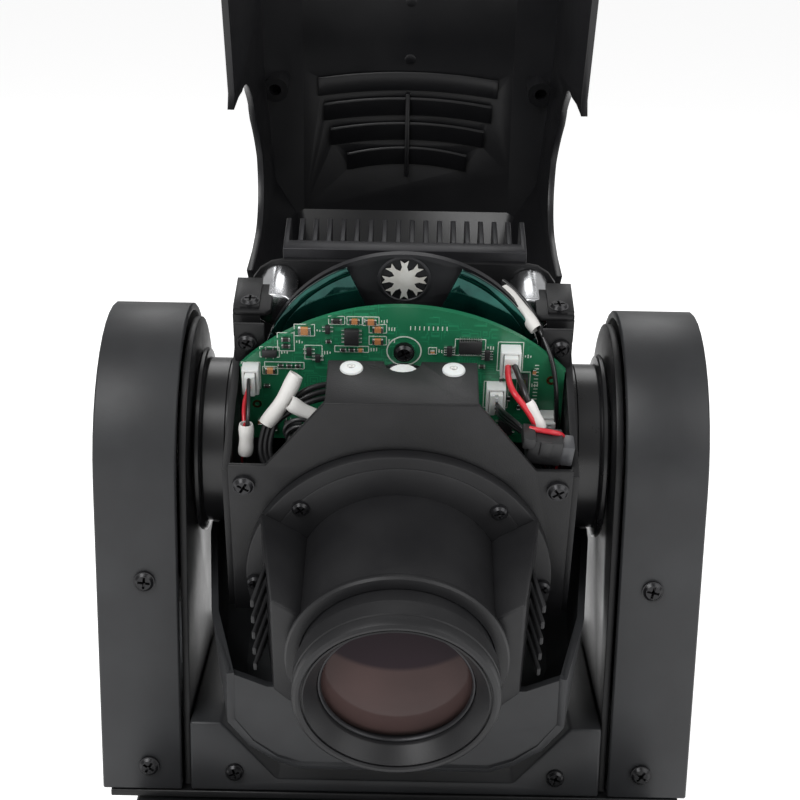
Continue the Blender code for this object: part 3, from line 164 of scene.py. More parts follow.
SATIN = finish("satin_moulding", (0.017, 0.0175, 0.019), (0.023, 0.024, 0.026), (0.38, 0.50), 1500, 0.03,
               Specular_IOR_Level=0.35)
GLOSS = finish("gloss_moulding", (0.006, 0.006, 0.007), (0.010, 0.010, 0.011), (0.24, 0.42), 420, 0.03,
               mottle=30,
               Specular_IOR_Level=0.4)
POWDER = finish("powder_coat", (0.006, 0.006, 0.0065), (0.011, 0.011, 0.012), (0.34, 0.50), 2600, 0.09,
                Specular_IOR_Level=0.3)
HUB = finish("hub_moulding", (0.010, 0.010, 0.011), (0.016, 0.016, 0.017), (0.24, 0.34), 900, 0.02,
             Specular_IOR_Level=0.45)
HOUSING = finish("matt_housing", (0.009, 0.009, 0.010), (0.014, 0.014, 0.015), (0.36, 0.50), 1900, 0.035,
                 Specular_IOR_Level=0.3)
BASE_SKIN = finish("base_moulding", (0.018, 0.019, 0.020), (0.025, 0.026, 0.028), (0.42, 0.55), 1300, 0.06)
RUBBER = finish("rubber", (0.012, 0.012, 0.012), (0.020, 0.020, 0.019), (0.70, 0.90), 900, 0.05)
ZINC = finish("zinc_plate", (0.50, 0.51, 0.52), (0.66, 0.67, 0.67), (0.22, 0.38), 1200, 0.02, 1.0)
BRIGHT = finish("machined_aluminium", (0.70, 0.71, 0.73), (0.82, 0.83, 0.85), (0.16, 0.30), 900, 0.015, 1.0,
                stretch=(1, 1, 8))
ANODISED = finish("black_anodising", (0.014, 0.014, 0.016), (0.024, 0.024, 0.027), (0.34, 0.48), 1600,
                  0.02, 0.4)
MOTOR = finish("drawn_steel", (0.40, 0.41, 0.43), (0.52, 0.53, 0.55), (0.28, 0.42), 1400, 0.02, 1.0)
SCREW = finish("black_oxide_screw", (0.010, 0.010, 0.011), (0.022, 0.022, 0.024), (0.22, 0.34), 1500,
               0.02, 0.5)
CHIP = finish("chip_epoxy", (0.010, 0.010, 0.011), (0.018, 0.018, 0.019), (0.45, 0.6), 3000, 0.02)
TIN = finish("tinned_lead", (0.62, 0.62, 0.60), (0.78, 0.78, 0.76), (0.22, 0.36), 2600, 0.01, 1.0)
CERAMIC = finish("capacitor_ceramic", (0.36, 0.15, 0.055), (0.50, 0.24, 0.10), (0.38, 0.5), 2400, 0.01)
RESISTOR = finish("resistor_glaze", (0.020, 0.018, 0.018), (0.035, 0.030, 0.028), (0.25, 0.4), 2400, 0.01)
SILK = finish("board_ink", (0.52, 0.56, 0.50), (0.64, 0.68, 0.62), (0.5, 0.65), 2800, 0.01)
NYLON = finish("white_nylon", (0.60, 0.60, 0.58), (0.72, 0.72, 0.70), (0.36, 0.48), 1700, 0.02,
               Subsurface_Weight=0.08)
SLEEVE = finish("white_shrink_tube", (0.54, 0.53, 0.51), (0.68, 0.67, 0.65), (0.40, 0.55), 800, 0.06)
WIRE = finish("black_insulation", (0.008, 0.008, 0.009), (0.016, 0.016, 0.017), (0.24, 0.36), 1200, 0.02)
RED_WIRE = finish("red_insulation", (0.42, 0.012, 0.022), (0.58, 0.022, 0.034), (0.26, 0.38), 1200, 0.02)
BOARD = lacquered_board("green_solder_mask", (0.010, 0.125, 0.055), (0.020, 0.215, 0.100),
                        (0.014, 0.150, 0.070))
SUPPLY = lacquered_board("supply_board", (0.150, 0.090, 0.032), (0.23, 0.15, 0.06), (0.180, 0.110, 0.042))
LAMINATE = finish("glass_fibre_edge", (0.42, 0.40, 0.26), (0.58, 0.55, 0.38), (0.6, 0.75), 2200, 0.08)
GOLD = finish("gold_pad", (0.55, 0.36, 0.12), (0.70, 0.48, 0.18), (0.25, 0.35), 2200, 0.01, 1.0)
FILTER = finish("dichroic_filter", (0.002, 0.030, 0.026), (0.010, 0.090, 0.070), (0.05, 0.10), 300, 0.004,
                0.8,
                mottle=90, Coat_Weight=0.25, Coat_Roughness=0.04)
FILTER_EDGE = finish("ground_glass_edge", (0.120, 0.165, 0.215), (0.250, 0.310, 0.370), (0.22, 0.40), 900,
                     0.05,
                     Coat_Weight=0.4, Coat_Roughness=0.1)
MIRROR = finish("gobo_metal", (0.70, 0.67, 0.62), (0.90, 0.89, 0.86), (0.26, 0.42), 600, 0.05, 0.55,
                mottle=160)
DISPLAY = finish("display_window", (0.010, 0.014, 0.022), (0.016, 0.022, 0.034), (0.05, 0.11), 300, 0.002,
                 Coat_Weight=0.8, Coat_Roughness=0.03)
MARK = finish("panel_mark", (0.55, 0.56, 0.57), (0.66, 0.67, 0.68), (0.4, 0.5), 2000, 0.01)
GREY_SHELL = finish("grey_connector", (0.045, 0.046, 0.050), (0.065, 0.066, 0.070), (0.32, 0.46), 1500, 0.03)
BRASS = finish("brass_contact", (0.60, 0.44, 0.18), (0.74, 0.56, 0.26), (0.2, 0.3), 1500, 0.01, 1.0)


def lens_with_painted_reflection():
    """Front glass: a warm brown depth, with a painted dark violet reflection curving across the top."""
    material = finish("lens_with_painted_reflection", (0.040, 0.027, 0.026), (0.060, 0.038, 0.036), (0.05, 0.14), 260, 0.002,
                      mottle=34, Specular_IOR_Level=0.08)
    nodes, links = material.node_tree.nodes, material.node_tree.links
    shader = nodes["Principled BSDF"]
    base = shader.inputs["Base Color"].links[0].from_socket
    place = nodes.new("ShaderNodeTexCoord")
    flat = nodes.new("ShaderNodeVectorMath")
    flat.operation = "MULTIPLY"
    flat.inputs[1].default_value = (1, 0, 1)
    links.new(place.outputs["Object"], flat.inputs[0])
    away = nodes.new("ShaderNodeVectorMath")
    away.operation = "DISTANCE"
    away.inputs[1].default_value = (0, 0, 0.1625)
    links.new(flat.outputs["Vector"], away.inputs[0])
    # painted reflection: a dark violet band over the top of the glass, inside a circle centred above the lens
    painted_reflection = nodes.new("ShaderNodeMapRange")
    painted_reflection.inputs["From Min"].default_value = 0.0338
    painted_reflection.inputs["From Max"].default_value = 0.0352
    painted_reflection.inputs["To Min"].default_value = 1
    painted_reflection.inputs["To Max"].default_value = 0
    links.new(away.outputs["Value"], painted_reflection.inputs["Value"])
    mix = nodes.new("ShaderNodeMix")
    mix.data_type = "RGBA"
    # the dark violet of the painted reflection
    mix.inputs[7].default_value = (0.016, 0.010, 0.013, 1)
    links.new(painted_reflection.outputs["Result"], mix.inputs["Factor"])
    links.new(base, mix.inputs[6])
    links.new(mix.outputs[2], shader.inputs["Base Color"])
    return material


LENS = lens_with_painted_reflection()
FINISH_OF = {"base_plastic": BASE_SKIN, "satin_plastic": SATIN, "gloss_black": GLOSS, "powder_coat": POWDER,
             "housing_black": HOUSING, "rubber": RUBBER, "zinc_steel": ZINC, "aluminium": BRIGHT,
             "anodised_black": ANODISED, "motor_steel": MOTOR, "board_green": BOARD, "supply_board": SUPPLY,
             "filter_glass": FILTER, "lens_glass": LENS, "display_glass": DISPLAY, "wire_black": WIRE}


# ---------------------------------------------------------------- mesh tools
def settle(name, mesh, materials, body, turn=IDENTITY, stands_for=(), smooth=32):
    """Place a finished mesh in the row frame and let it ride on its body."""
    mesh.transform(turn)
    mesh.materials.clear()
    for material in materials:
        mesh.materials.append(material)
    mesh.shade_smooth()
    mesh.set_sharp_from_angle(angle=radians(smooth))
    obj = bpy.data.objects.new(name, mesh)
    bpy.context.scene.collection.objects.link(obj)
    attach(obj, body)
    if stands_for:
        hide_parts(*stands_for)
    return obj


def mesh_from(name, build):
    mesh = bpy.data.meshes.new(name)
    bm = bmesh.new()
    build(bm)
    bm.to_mesh(mesh)
    bm.free()
    return mesh


def evaluated(obj):
    """The finished mesh of an object and all its modifiers; the object itself is removed."""
    bpy.context.view_layer.update()
    mesh = bpy.data.meshes.new_from_object(obj.evaluated_get(bpy.context.evaluated_depsgraph_get()))
    bpy.data.objects.remove(obj)
    return mesh


def shown(mesh, name="working"):
    obj = bpy.data.objects.new(name, mesh)
    bpy.context.scene.collection.objects.link(obj)
    return obj


def softened(mesh, width, segments=2, angle=28):
    """The mesh with its hard edges rounded."""
    obj = shown(mesh)
    bevel = obj.modifiers.new("edges", "BEVEL")
    bevel.width = width * MM
    bevel.segments = segments
    bevel.limit_method = "ANGLE"
    bevel.angle_limit = radians(angle)
    bevel.harden_normals = False
    bevel.miter_outer = "MITER_ARC"
    return evaluated(obj)


def node_mesh(node):
    """A merged copy of a CAD node's mesh, its flat faces whole again."""
    bm = bmesh.new()
    bm.from_mesh(frame["nodes"][node].data)
    bmesh.ops.remove_doubles(bm, verts=bm.verts, dist=0.00001)
    bmesh.ops.dissolve_limit(bm, angle_limit=radians(1.5), verts=bm.verts, edges=bm.edges)
    mesh = bpy.data.meshes.new(node)
    bm.to_mesh(mesh)
    bm.free()
    return mesh


def finished_node(node, width, material=None, segments=2, smooth=32):
    """A CAD node with softened edges in its own finish."""
    mesh = softened(node_mesh(node), width, segments)
    return settle(f"{node}_finished", mesh, [material or FINISH_OF[SLOT_OF[node]]], BODY_OF[node],
                  stands_for=(node,), smooth=smooth)


def turned(profile, turn=IDENTITY, sides=96):
    """A closed body turned about Z from (radius, height) points in mm, from axis to axis or as a ring."""

    def build(bm):
        rings = []
        for radius, height in profile:
            if radius < 0.001:
                rings.append([bm.verts.new((0, 0, height * MM))])
                continue
            rings.append([bm.verts.new((radius * MM * cos(2 * pi * i / sides),
                                        radius * MM * sin(2 * pi * i / sides),
                                        height * MM)) for i in range(sides)])
        pairs = list(zip(rings, rings[1:]))
        if profile[0][0] > 0.001:
            pairs.append((rings[-1], rings[0]))
        for low, high in pairs:
            if len(low) == 1 and len(high) == 1:
                continue
            for i in range(sides):
                j = (i + 1) % sides
                if len(low) == 1:
                    bm.faces.new((low[0], high[j], high[i]))
                elif len(high) == 1:
                    bm.faces.new((low[i], low[j], high[0]))
                else:
                    bm.faces.new((low[i], low[j], high[j], high[i]))
        bmesh.ops.recalc_face_normals(bm, faces=bm.faces)

    mesh = mesh_from("turned", build)
    mesh.transform(turn)
    return mesh


def plate(loops, low, high, turn=IDENTITY, rounding=0.0):
    """A flat outline in mm with holes, between two stations along its normal."""
    curve = bpy.data.curves.new("outline", "CURVE")
    curve.dimensions = "2D"
    curve.fill_mode = "BOTH"
    curve.extrude = (high - low) / 2 * MM
    for loop in loops:
        spline = curve.splines.new("POLY")
        spline.points.add(len(loop) - 1)
        for point, (x, y) in zip(spline.points, loop):
            point.co = (x * MM, y * MM, 0, 1)
        spline.use_cyclic_u = True
    mesh = evaluated(shown(curve))
    bm = bmesh.new()
    bm.from_mesh(mesh)
    bmesh.ops.remove_doubles(bm, verts=bm.verts, dist=0.000001)
    bmesh.ops.dissolve_limit(bm, angle_limit=radians(0.5), verts=bm.verts, edges=bm.edges)
    bmesh.ops.recalc_face_normals(bm, faces=bm.faces)
    bm.to_mesh(mesh)
    bm.free()
    mesh.transform(Matrix.Translation((0, 0, (low + high) / 2 * MM)))
    if rounding:
        mesh = softened(mesh, rounding)
    mesh.transform(turn)
    return mesh


def block(centre, size, rounding=0.0, turn=IDENTITY, segments=2):
    """A block in mm with rounded edges."""

    def build(bm):
        bmesh.ops.create_cube(bm, size=1, matrix=Matrix.Translation(Vector(centre) * MM)
                              @ Matrix.Diagonal((*[s * MM for s in size], 1)))

    mesh = mesh_from("block", build)
    if rounding:
        mesh = softened(mesh, rounding, segments)
    mesh.transform(turn)
    return mesh


def arc(centre, radius, start, end, count):
    steps = [start + (end - start) * i / count for i in range(count + 1)]
    return [(centre[0] + radius * cos(a), centre[1] + radius * sin(a)) for a in steps]


def circle(centre, radius, count=64):
    return arc(centre, radius, 0, 2 * pi, count)[:-1]


def gathered(*meshes, indices=None):
    """Several meshes as one, each with its own material index."""
    bm = bmesh.new()
    for number, mesh in enumerate(meshes):
        start = len(bm.faces)
        bm.from_mesh(mesh)
        bm.faces.ensure_lookup_table()
        for face in bm.faces[start:]:
            face.material_index = indices[number] if indices else 0
        bpy.data.meshes.remove(mesh)
    result = bpy.data.meshes.new("gathered")
    bm.to_mesh(result)
    bm.free()
    return result


def carved(mesh, *cutters):
    """The mesh less each cutter."""
    obj = shown(mesh)
    held = []
    for cutter in cutters:
        tool = shown(cutter, "tool")
        tool.hide_render = True
        step = obj.modifiers.new("cut", "BOOLEAN")
        step.operation = "DIFFERENCE"
        step.solver = "EXACT"
        step.object = tool
        held.append(tool)
    result = evaluated(obj)
    for tool in held:
        bpy.data.objects.remove(tool)
    return result


def cable(points, radius, turn=IDENTITY, resolution=10):
    """A round lead along a smooth route of places, with closed ends."""
    curve = bpy.data.curves.new("lead", "CURVE")
    curve.dimensions = "3D"
    curve.bevel_depth = radius * MM
    curve.bevel_resolution = 4
    curve.use_fill_caps = True
    spline = curve.splines.new("NURBS")
    spline.points.add(len(points) - 1)
    for point, place in zip(spline.points, points):
        point.co = (*place, 1)
    spline.use_endpoint_u = True
    spline.order_u = 4
    spline.resolution_u = resolution
    mesh = evaluated(shown(curve))
    mesh.transform(turn)
    return mesh


# ---------------------------------------------------------------- node trees for what repeats
def tree_with(name, *sizes):
    """A modifier tree with a place for the geometry, a material and the named sizes."""
    tree = bpy.data.node_groups.new(name, "GeometryNodeTree")
    tree.interface.new_socket("Geometry", in_out="INPUT", socket_type="NodeSocketGeometry")
    tree.interface.new_socket("Material", in_out="INPUT", socket_type="NodeSocketMaterial")
    for size, default in sizes:
        kind = "NodeSocketInt" if isinstance(default, int) else "NodeSocketFloat"
        tree.interface.new_socket(size, in_out="INPUT", socket_type=kind).default_value = default
    tree.interface.new_socket("Geometry", in_out="OUTPUT", socket_type="NodeSocketGeometry")
    given = tree.nodes.new("NodeGroupInput")
    return tree, given


def linked(tree, kind, inputs=(), **settings):
    """A node with its settings, fed from (input, socket or value) pairs."""
    node = tree.nodes.new(kind)
    for setting, value in settings.items():
        setattr(node, setting, value)
    for place, source in inputs:
        if isinstance(source, bpy.types.NodeSocket):
            tree.links.new(source, node.inputs[place])
        else:
            node.inputs[place].default_value = source
    return node


def finish_tree(tree, given, geometry):
    real = linked(tree, "GeometryNodeRealizeInstances", [("Geometry", geometry)])
    painted = linked(tree, "GeometryNodeSetMaterial", [("Geometry", real.outputs[0]),
                                                       ("Material", given.outputs["Material"])])
    linked(tree, "NodeGroupOutput", [("Geometry", painted.outputs[0])])
    return tree


def maths(tree, operation, first, second):
    return linked(tree, "ShaderNodeMath", [(0, first), (1, second)], operation=operation).outputs[0]


def lifted(tree, geometry, height, turn=0.0):
    up = linked(tree, "ShaderNodeCombineXYZ", [("Z", height)])
    return linked(tree, "GeometryNodeTransform", [("Geometry", geometry), ("Translation", up.outputs[0]),
                                                  ("Rotation", (0, 0, turn))]).outputs[0]


def pan_screw_tree():
    """Pan-head screws with a cross recess, one at each point, turned as its 'aim' attribute says."""
    tree, given = tree_with("pan_screws", ("Head radius", 0.0028), ("Head height", 0.0018),
                            ("Recess width", 0.0007))
    radius, height, width = (given.outputs[name] for name in ("Head radius", "Head height", "Recess width"))
    rim = linked(tree, "GeometryNodeMeshCylinder", [("Vertices", 28), ("Radius", radius),
                                                    ("Depth", maths(tree, "MULTIPLY", height, 0.6))])
    low = lifted(tree, rim.outputs["Mesh"], maths(tree, "MULTIPLY", height, 0.3))
    crown = linked(tree, "GeometryNodeMeshCone", [("Vertices", 28), ("Side Segments", 1),
                                                  ("Radius Top", maths(tree, "MULTIPLY", radius, 0.66)),
                                                  ("Radius Bottom", maths(tree, "MULTIPLY", radius, 0.985)),
                                                  ("Depth", maths(tree, "MULTIPLY", height, 0.55))])
    high = lifted(tree, crown.outputs["Mesh"], maths(tree, "MULTIPLY", height, 0.45))
    head = linked(tree, "GeometryNodeMeshBoolean", [("Mesh 2", low)], operation="UNION")
    tree.links.new(high, head.inputs["Mesh 2"])
    long = maths(tree, "MULTIPLY", radius, 1.15)
    size = linked(tree, "ShaderNodeCombineXYZ", [("X", long), ("Y", width), ("Z", height)])
    bar = linked(tree, "GeometryNodeMeshCube", [("Size", size.outputs[0])])
    level = maths(tree, "MULTIPLY", height, 0.95)
    recess = linked(tree, "GeometryNodeMeshBoolean", [("Mesh 1", head.outputs["Mesh"]),
                                                      ("Mesh 2", lifted(tree, bar.outputs["Mesh"], level))],
                    operation="DIFFERENCE")
    tree.links.new(lifted(tree, bar.outputs["Mesh"], level, pi / 2), recess.inputs["Mesh 2"])
    aim = linked(tree, "GeometryNodeInputNamedAttribute", [("Name", "aim")], data_type="FLOAT_VECTOR")
    turn = linked(tree, "FunctionNodeEulerToRotation", [("Euler", aim.outputs["Attribute"])])
    placed = linked(tree, "GeometryNodeInstanceOnPoints", [("Points", given.outputs["Geometry"]),
                                                           ("Instance", recess.outputs["Mesh"]),
                                                           ("Rotation", turn.outputs[0])])
    return finish_tree(tree, given, placed.outputs[0])


def bar_tree():
    """Small straight bars of a set size, one at each point, such as leads, pins and ink lines."""
    tree, given = tree_with("bars", ("Length", 0.001), ("Width", 0.0003), ("Thickness", 0.0002))
    size = linked(tree, "ShaderNodeCombineXYZ",
                  [("X", given.outputs["Length"]), ("Y", given.outputs["Width"]),
                                                 ("Z", given.outputs["Thickness"])])
    bar = linked(tree, "GeometryNodeMeshCube", [("Size", size.outputs[0])])
    aim = linked(tree, "GeometryNodeInputNamedAttribute", [("Name", "aim")], data_type="FLOAT_VECTOR")
    turn = linked(tree, "FunctionNodeEulerToRotation", [("Euler", aim.outputs["Attribute"])])
    scale = linked(tree, "GeometryNodeInputNamedAttribute", [("Name", "scale")], data_type="FLOAT_VECTOR")
    placed = linked(tree, "GeometryNodeInstanceOnPoints", [("Points", given.outputs["Geometry"]),
                                                           ("Instance", bar.outputs["Mesh"]),
                                                           ("Rotation", turn.outputs[0]),
                                                           ("Scale", scale.outputs["Attribute"])])
    return finish_tree(tree, given, placed.outputs[0])


PAN_SCREWS = pan_screw_tree()
BARS = bar_tree()


def repeated(tree, places, material, **sizes):
    """The tree's pieces at (place, euler[, scale]) points, as a plain mesh."""
    mesh = bpy.data.meshes.new("points")
    mesh.from_pydata([tuple(place[0]) for place in places], [], [])
    aim = mesh.attributes.new("aim", "FLOAT_VECTOR", "POINT")
    scale = mesh.attributes.new("scale", "FLOAT_VECTOR", "POINT")
    for index, place in enumerate(places):
        aim.data[index].vector = tuple(place[1])
        scale.data[index].vector = tuple(place[2]) if len(place) > 2 else (1, 1, 1)
    obj = shown(mesh)
    step = obj.modifiers.new("repeat", "NODES")
    step.node_group = tree
    sockets = {item.name: item.identifier for item in tree.interface.items_tree
               if item.item_type == "SOCKET" and item.in_out == "INPUT"}
    step[sockets["Material"]] = material
    for name, value in sizes.items():
        step[sockets[name.replace("_", " ")]] = value
    return evaluated(obj)


def screws(name, body, places, radius=2.8, height=1.8, material=None):
    """One group of screws on one body; each place is (point, direction its head faces, turn of its cross)."""
    aimed = []
    for point, facing, roll in places:
        turn = Vector(facing).to_track_quat("Z", "Y").to_matrix() @ Matrix.Rotation(roll, 3, "Z")
        aimed.append((point, turn.to_euler()))
    mesh = repeated(PAN_SCREWS, aimed, material or SCREW, Head_radius=radius * MM, Head_height=height * MM,
                    Recess_width=radius * 0.24 * MM)
    return settle(name, mesh, [material or SCREW], body, smooth=40)


def head_aim(facing):
    """A direction in the head turned to the row frame."""
    return HEAD.to_3x3() @ Vector(facing)


# ---------------------------------------------------------------- nodes kept in shape, edges rounded
for node, width in (("base_housing", 0.8), ("base_plate", 0.3), ("control_panel", 0.5), ("display", 0.4),
                    ("power_inlet", 0.4), ("data_in_socket", 0.4), ("data_out_socket", 0.4),
                    ("pan_bearing", 0.4),
                    ("pan_motor", 0.8), ("pan_belt", 0.15), ("pan_motor_pulley", 0.3), ("yoke_frame", 0.3),
                    ("pan_shaft", 0.3), ("pan_pulley", 0.3), ("tilt_motor", 0.5), ("tilt_belt", 0.15),
                    ("tilt_bearing_left", 0.4), ("tilt_bearing_right", 0.4), ("tilt_motor_pulley", 0.3),
                    ("tilt_pulley", 0.3), ("rear_plate", 0.35), ("heat_sink", 0.25), ("led_board", 0.3),
                    ("collimator", 0.4), ("fan_frame", 0.4), ("fan_rotor", 0.2), ("gobo_wheel_motor", 0.5),
                    ("colour_wheel_motor", 0.5), ("colour_wheel_hub", 0.3), ("power_board", 0.1),
                    ("hinge_pin", 0.2), ("foot_front_left", 0.6), ("foot_front_right", 0.6),
                    ("foot_rear_left", 0.6),
                    ("foot_rear_right", 0.6), ("button_1", 0.5), ("button_2", 0.5), ("button_3", 0.5),
                    ("button_4", 0.5), ("side_plate_left", 0.4), ("side_plate_right", 0.4),
                    ("front_plate", 0.5),
                    ("pillar_left", 0.5), ("pillar_right", 0.5), ("arm_cover_left", 1.2),
                    ("arm_cover_right", 1.2),
                    ("crossmember_cover", 0.8)):
    finished_node(node, width)


# ---------------------------------------------------------------- the head's covers, relieved for the drums
def drum_relief(loop, side, place):
    """A cutter through one side wall, its loop drawn in the head's side view (forward, up)."""
    low, high = sorted((-side * 44, -side * 62))
    across = Matrix(((0, 0, -1, 0), (-1, 0, 0, 0), (0, 1, 0, 0), (0, 0, 0, 1)))
    return plate([loop], low, high, place @ across)


def head_covers():
    notch = [(-26, -60), (31.5, -60), (31, -24), (29, -10), (26.2, 0), *arc((0, 0), 26, 0.02, pi, 40)]
    top = carved(node_mesh("top_cover"), *[drum_relief(notch, side, COVER) for side in (-1, 1)])
    settle("top_cover_finished", softened(top, 0.6), [GLOSS], "cover", stands_for=("top_cover",))
    ring = circle((0, 0), 25.2, 72)
    low = carved(node_mesh("lower_cover"), *[drum_relief(ring, side, HEAD) for side in (-1, 1)])
    settle("lower_cover_finished", softened(low, 0.6), [FINISH_OF[SLOT_OF["lower_cover"]]], "head",
           stands_for=("lower_cover",))


head_covers()


# ---------------------------------------------------------------- the tilt hubs
def tilt_hub(side, node):
    """A glossy drum between the side plate and the arm, stepped, on the shaft that enters the arm."""
    profile = [(0, 48.2), (23.0, 48.2), (23.6, 48.5), (23.6, 49.6), (24, 49.9), (24, 55.8), (24.4, 56.2),
               (26.4, 56.4),
               (26.9, 56.8), (26.9, 57.7), (26.4, 58.2), (25.8, 58.4), (9, 58.4), (9, 79.5), (8.5, 80),
               (0, 80)]
    mesh = turned(profile, SIDEWAYS if side > 0 else Matrix.Rotation(-pi / 2, 4, "Y"), 128)
    mesh.transform(Matrix.Translation((0, 0, TILT_HEIGHT)))
    settle(f"{node}_turned", mesh, [HUB], "head", stands_for=(node,))


tilt_hub(-1, "tilt_hub_left")
tilt_hub(1, "tilt_hub_right")


# ---------------------------------------------------------------- lens housing, barrel and front lens
def on_axis(profile, sides=128):
    return turned(profile, Matrix.Translation((0, 0, OPTIC_UP * MM)) @ FORWARD, sides)


def housing_wing(x):
    """A flat-sided wing beside the sleeve, drawn in towards the front, with long steps down its side."""
    rear = [(24, 3), (27, 6), (37, 12.5), (37.4, 11), (37.4, -25), (25, -37), (20, -34)]
    front = [(24, 3), (26.6, 5), (32.2, 8.8), (32.6, 7.6), (32.6, -23), (23, -33), (20, -32)]

    def build(bm):
        ends = [[bm.verts.new(spot(x * a, u, w)) for a, w in half]
                for u, half in ((48.8, rear), (79.5, front))]
        for i in range(len(rear)):
            j = (i + 1) % len(rear)
            bm.faces.new((ends[0][i], ends[0][j], ends[1][j], ends[1][i]))
        bm.faces.new(ends[0])
        bm.faces.new(ends[1])
        bmesh.ops.recalc_face_normals(bm, faces=bm.faces)

    bore = on_axis([(0, 40), (27, 40), (27, 90), (0, 90)], 96)
    return carved(softened(mesh_from("wing", build), 0.7), bore)


def lens_housing():
    low = -10.2
    side = acos((-40 - low) / 42)
    flange_loop = arc((0, low), 42, pi / 2 - side, pi / 2 + side, 128)
    flange = plate([flange_loop, circle((0, OPTIC_UP), 21, 64)], 45.3, 48.9, FORWARD, 0.5)
    lip = on_axis([(36.2, 48.4), (36.2, 49.1), (35.8, 49.3), (27, 49.3), (27, 48.4)])
    sleeve_body = on_axis([(27.5, 48.5), (27.6, 50.5), (27.6, 80.8), (28.0, 81.4), (28.9, 81.8), (29.1, 82.3),
                           (29.1, 83.2), (28.6, 83.8), (27.6, 84), (25.7, 84), (25.7, 48.5)])
    ribs = []
    for x in (-1, 1):
        for index in range(5):
            turn = Matrix.Rotation(atan2(x * 4.9, 28), 4, "Z")
            rib = block((0, 0, 0), (1.1, 27, 2.6), 0.4)
            rib.transform(Matrix.Translation(spot(x * 35.2, 63.6, 5 - 5.6 * index)) @ turn)
            ribs.append(rib)
    mesh = gathered(flange, lip, sleeve_body, housing_wing(-1), housing_wing(1), *ribs)
    settle("lens_housing_moulding", mesh, [HOUSING], "head", HEAD, ("lens_housing",))


def lens_barrel():
    """The sliding barrel: a plain sleeve, a fine groove, and a thick front ring dished in to the glass."""
    profile = [(21, 60), (25, 60), (25.4, 60.4), (25.4, 88.4), (26.2, 88.7), (26.6, 89.1), (26.6, 93.8),
               (26.3, 94.1),
               (26.3, 94.5), (26.6, 94.8), (26.6, 96.6), (26.2, 97.5), (25.4, 98), (24.7, 97.9), (24.3, 97.5),
               (24.25, 96.9), (23.95, 96.9), (23.9, 97.3), (23.5, 97.5), (20.5, 93.6), (20.3, 93.2),
               (20.3, 90.9),
               (21, 90.8)]
    settle("lens_barrel_turned", on_axis(profile), [HOUSING], "focus_barrel", HEAD, ("lens_barrel",))
    crown = [(20.7 * sin(a), 89.6 + 3.2 * cos(a) ** 2) for a in [pi / 2 * i / 14 for i in range(15)]]
    glass = on_axis([*crown[::-1], (0, 87), (20.7, 87)][::-1])
    settle("front_lens_ground", glass, [LENS], "focus_barrel", HEAD, ("front_lens",), smooth=50)
    ring = on_axis([(20.2, 90.95), (20.2, 92.1), (20.0, 92.5), (19.6, 92.5), (19.3, 92.1), (19.25, 91.6)])
    settle("lens_ring_turned", ring, [ANODISED], "focus_barrel", HEAD, ("lens_ring",))


lens_housing()
lens_barrel()


# ---------------------------------------------------------------- wheels
def wheel_spots(radius, count=8):
    return arc((0, WHEEL_UP), radius, pi / 2, 5 * pi / 2, count)[:-1]


def gobo_wheel():
    """A black disc with a raised rim and eight holders, each with a cut pattern of bright metal."""
    spots = wheel_spots(31.5)
    disc = plate([circle((0, WHEEL_UP), 39.8, 160), circle((0, WHEEL_UP), 1.8, 32),
                  *[circle(place, 6.9, 48) for place in spots]], -3, -1.8, FORWARD, 0.15)
    axis = Matrix.Translation((0, 0, WHEEL_UP * MM)) @ FORWARD
    rim = turned([(39.9, -3.05), (39.9, -1.2), (38.9, -1.2), (38.9, -3.05)], axis, 160)
    hub = turned([(1.9, -1.9), (1.9, -0.5), (7, -0.5), (7.6, -1.1), (7.6, -1.9)], axis, 64)
    rings = []
    for x, up in spots:
        aim = Matrix.Translation((x * MM, 0, up * MM)) @ FORWARD
        rings.append(turned([(6.95, -1.9), (7.5, -1.9), (7.5, -1.7), (7.3, -1.6), (6.7, -1.6), (6.5, -1.8),
                             (6.5, -2.2), (6.95, -2.2)], aim, 56))
    mesh = gathered(disc, rim, hub, *rings)
    settle("gobo_wheel_disc", mesh, [ANODISED], "gobo_disc", HEAD, ("gobo_wheel",))
    # painted shade: black discs close each holder behind its pattern and stand in for the dark inside of the
    # head
    shade_discs = [plate([circle(place, 6.7, 40)], -2.75, -2.35, FORWARD) for place in spots]
    settle("gobo_painted_shade_discs", gathered(*shade_discs), [ANODISED], "gobo_disc", HEAD)


def star_loop(centre, arms, tip, root, turn):
    """A star whose arms end in small forks."""
    loop = []
    for i in range(arms):
        a = turn + 2 * pi * i / arms
        half = 0.15
        for radius, angle in ((root, a - pi / arms), (tip * 0.66, a - half * 1.1), (tip, a - half * 1.25),
                              (tip * 0.84, a), (tip, a + half * 1.25), (tip * 0.66, a + half * 1.1)):
            loop.append((centre[0] + radius * cos(angle), centre[1] + radius * sin(angle)))
    return loop


def gobo_patterns():
    """The pattern in each holder, all plain shapes: forked stars of three to twelve arms, and a disc pierced
    with dots.
    """
    spots = wheel_spots(31.5)
    shapes = [plate([star_loop(spots[0], 8, 6.3, 3.0, pi / 2)], -1.75, -1.5, FORWARD)]
    x, up = spots[1]
    shapes.append(plate([circle(spots[1], 6, 40),
                         *[circle(p, 1.1, 16) for p in arc((x, up), 3.6, 0, 2 * pi, 7)[:-1]],
                         circle(spots[1], 1.2, 16)], -2.3, -2.0, FORWARD))
    for index, count in ((2, 3), (3, 5), (4, 6), (5, 4), (6, 12), (7, 9)):
        shapes.append(plate([star_loop(spots[index], count, 5.9, 2.4, 0.3 * index)], -2.3, -2.0, FORWARD))
    settle("gobo_patterns", gathered(*shapes), [MIRROR], "gobo_disc", HEAD)


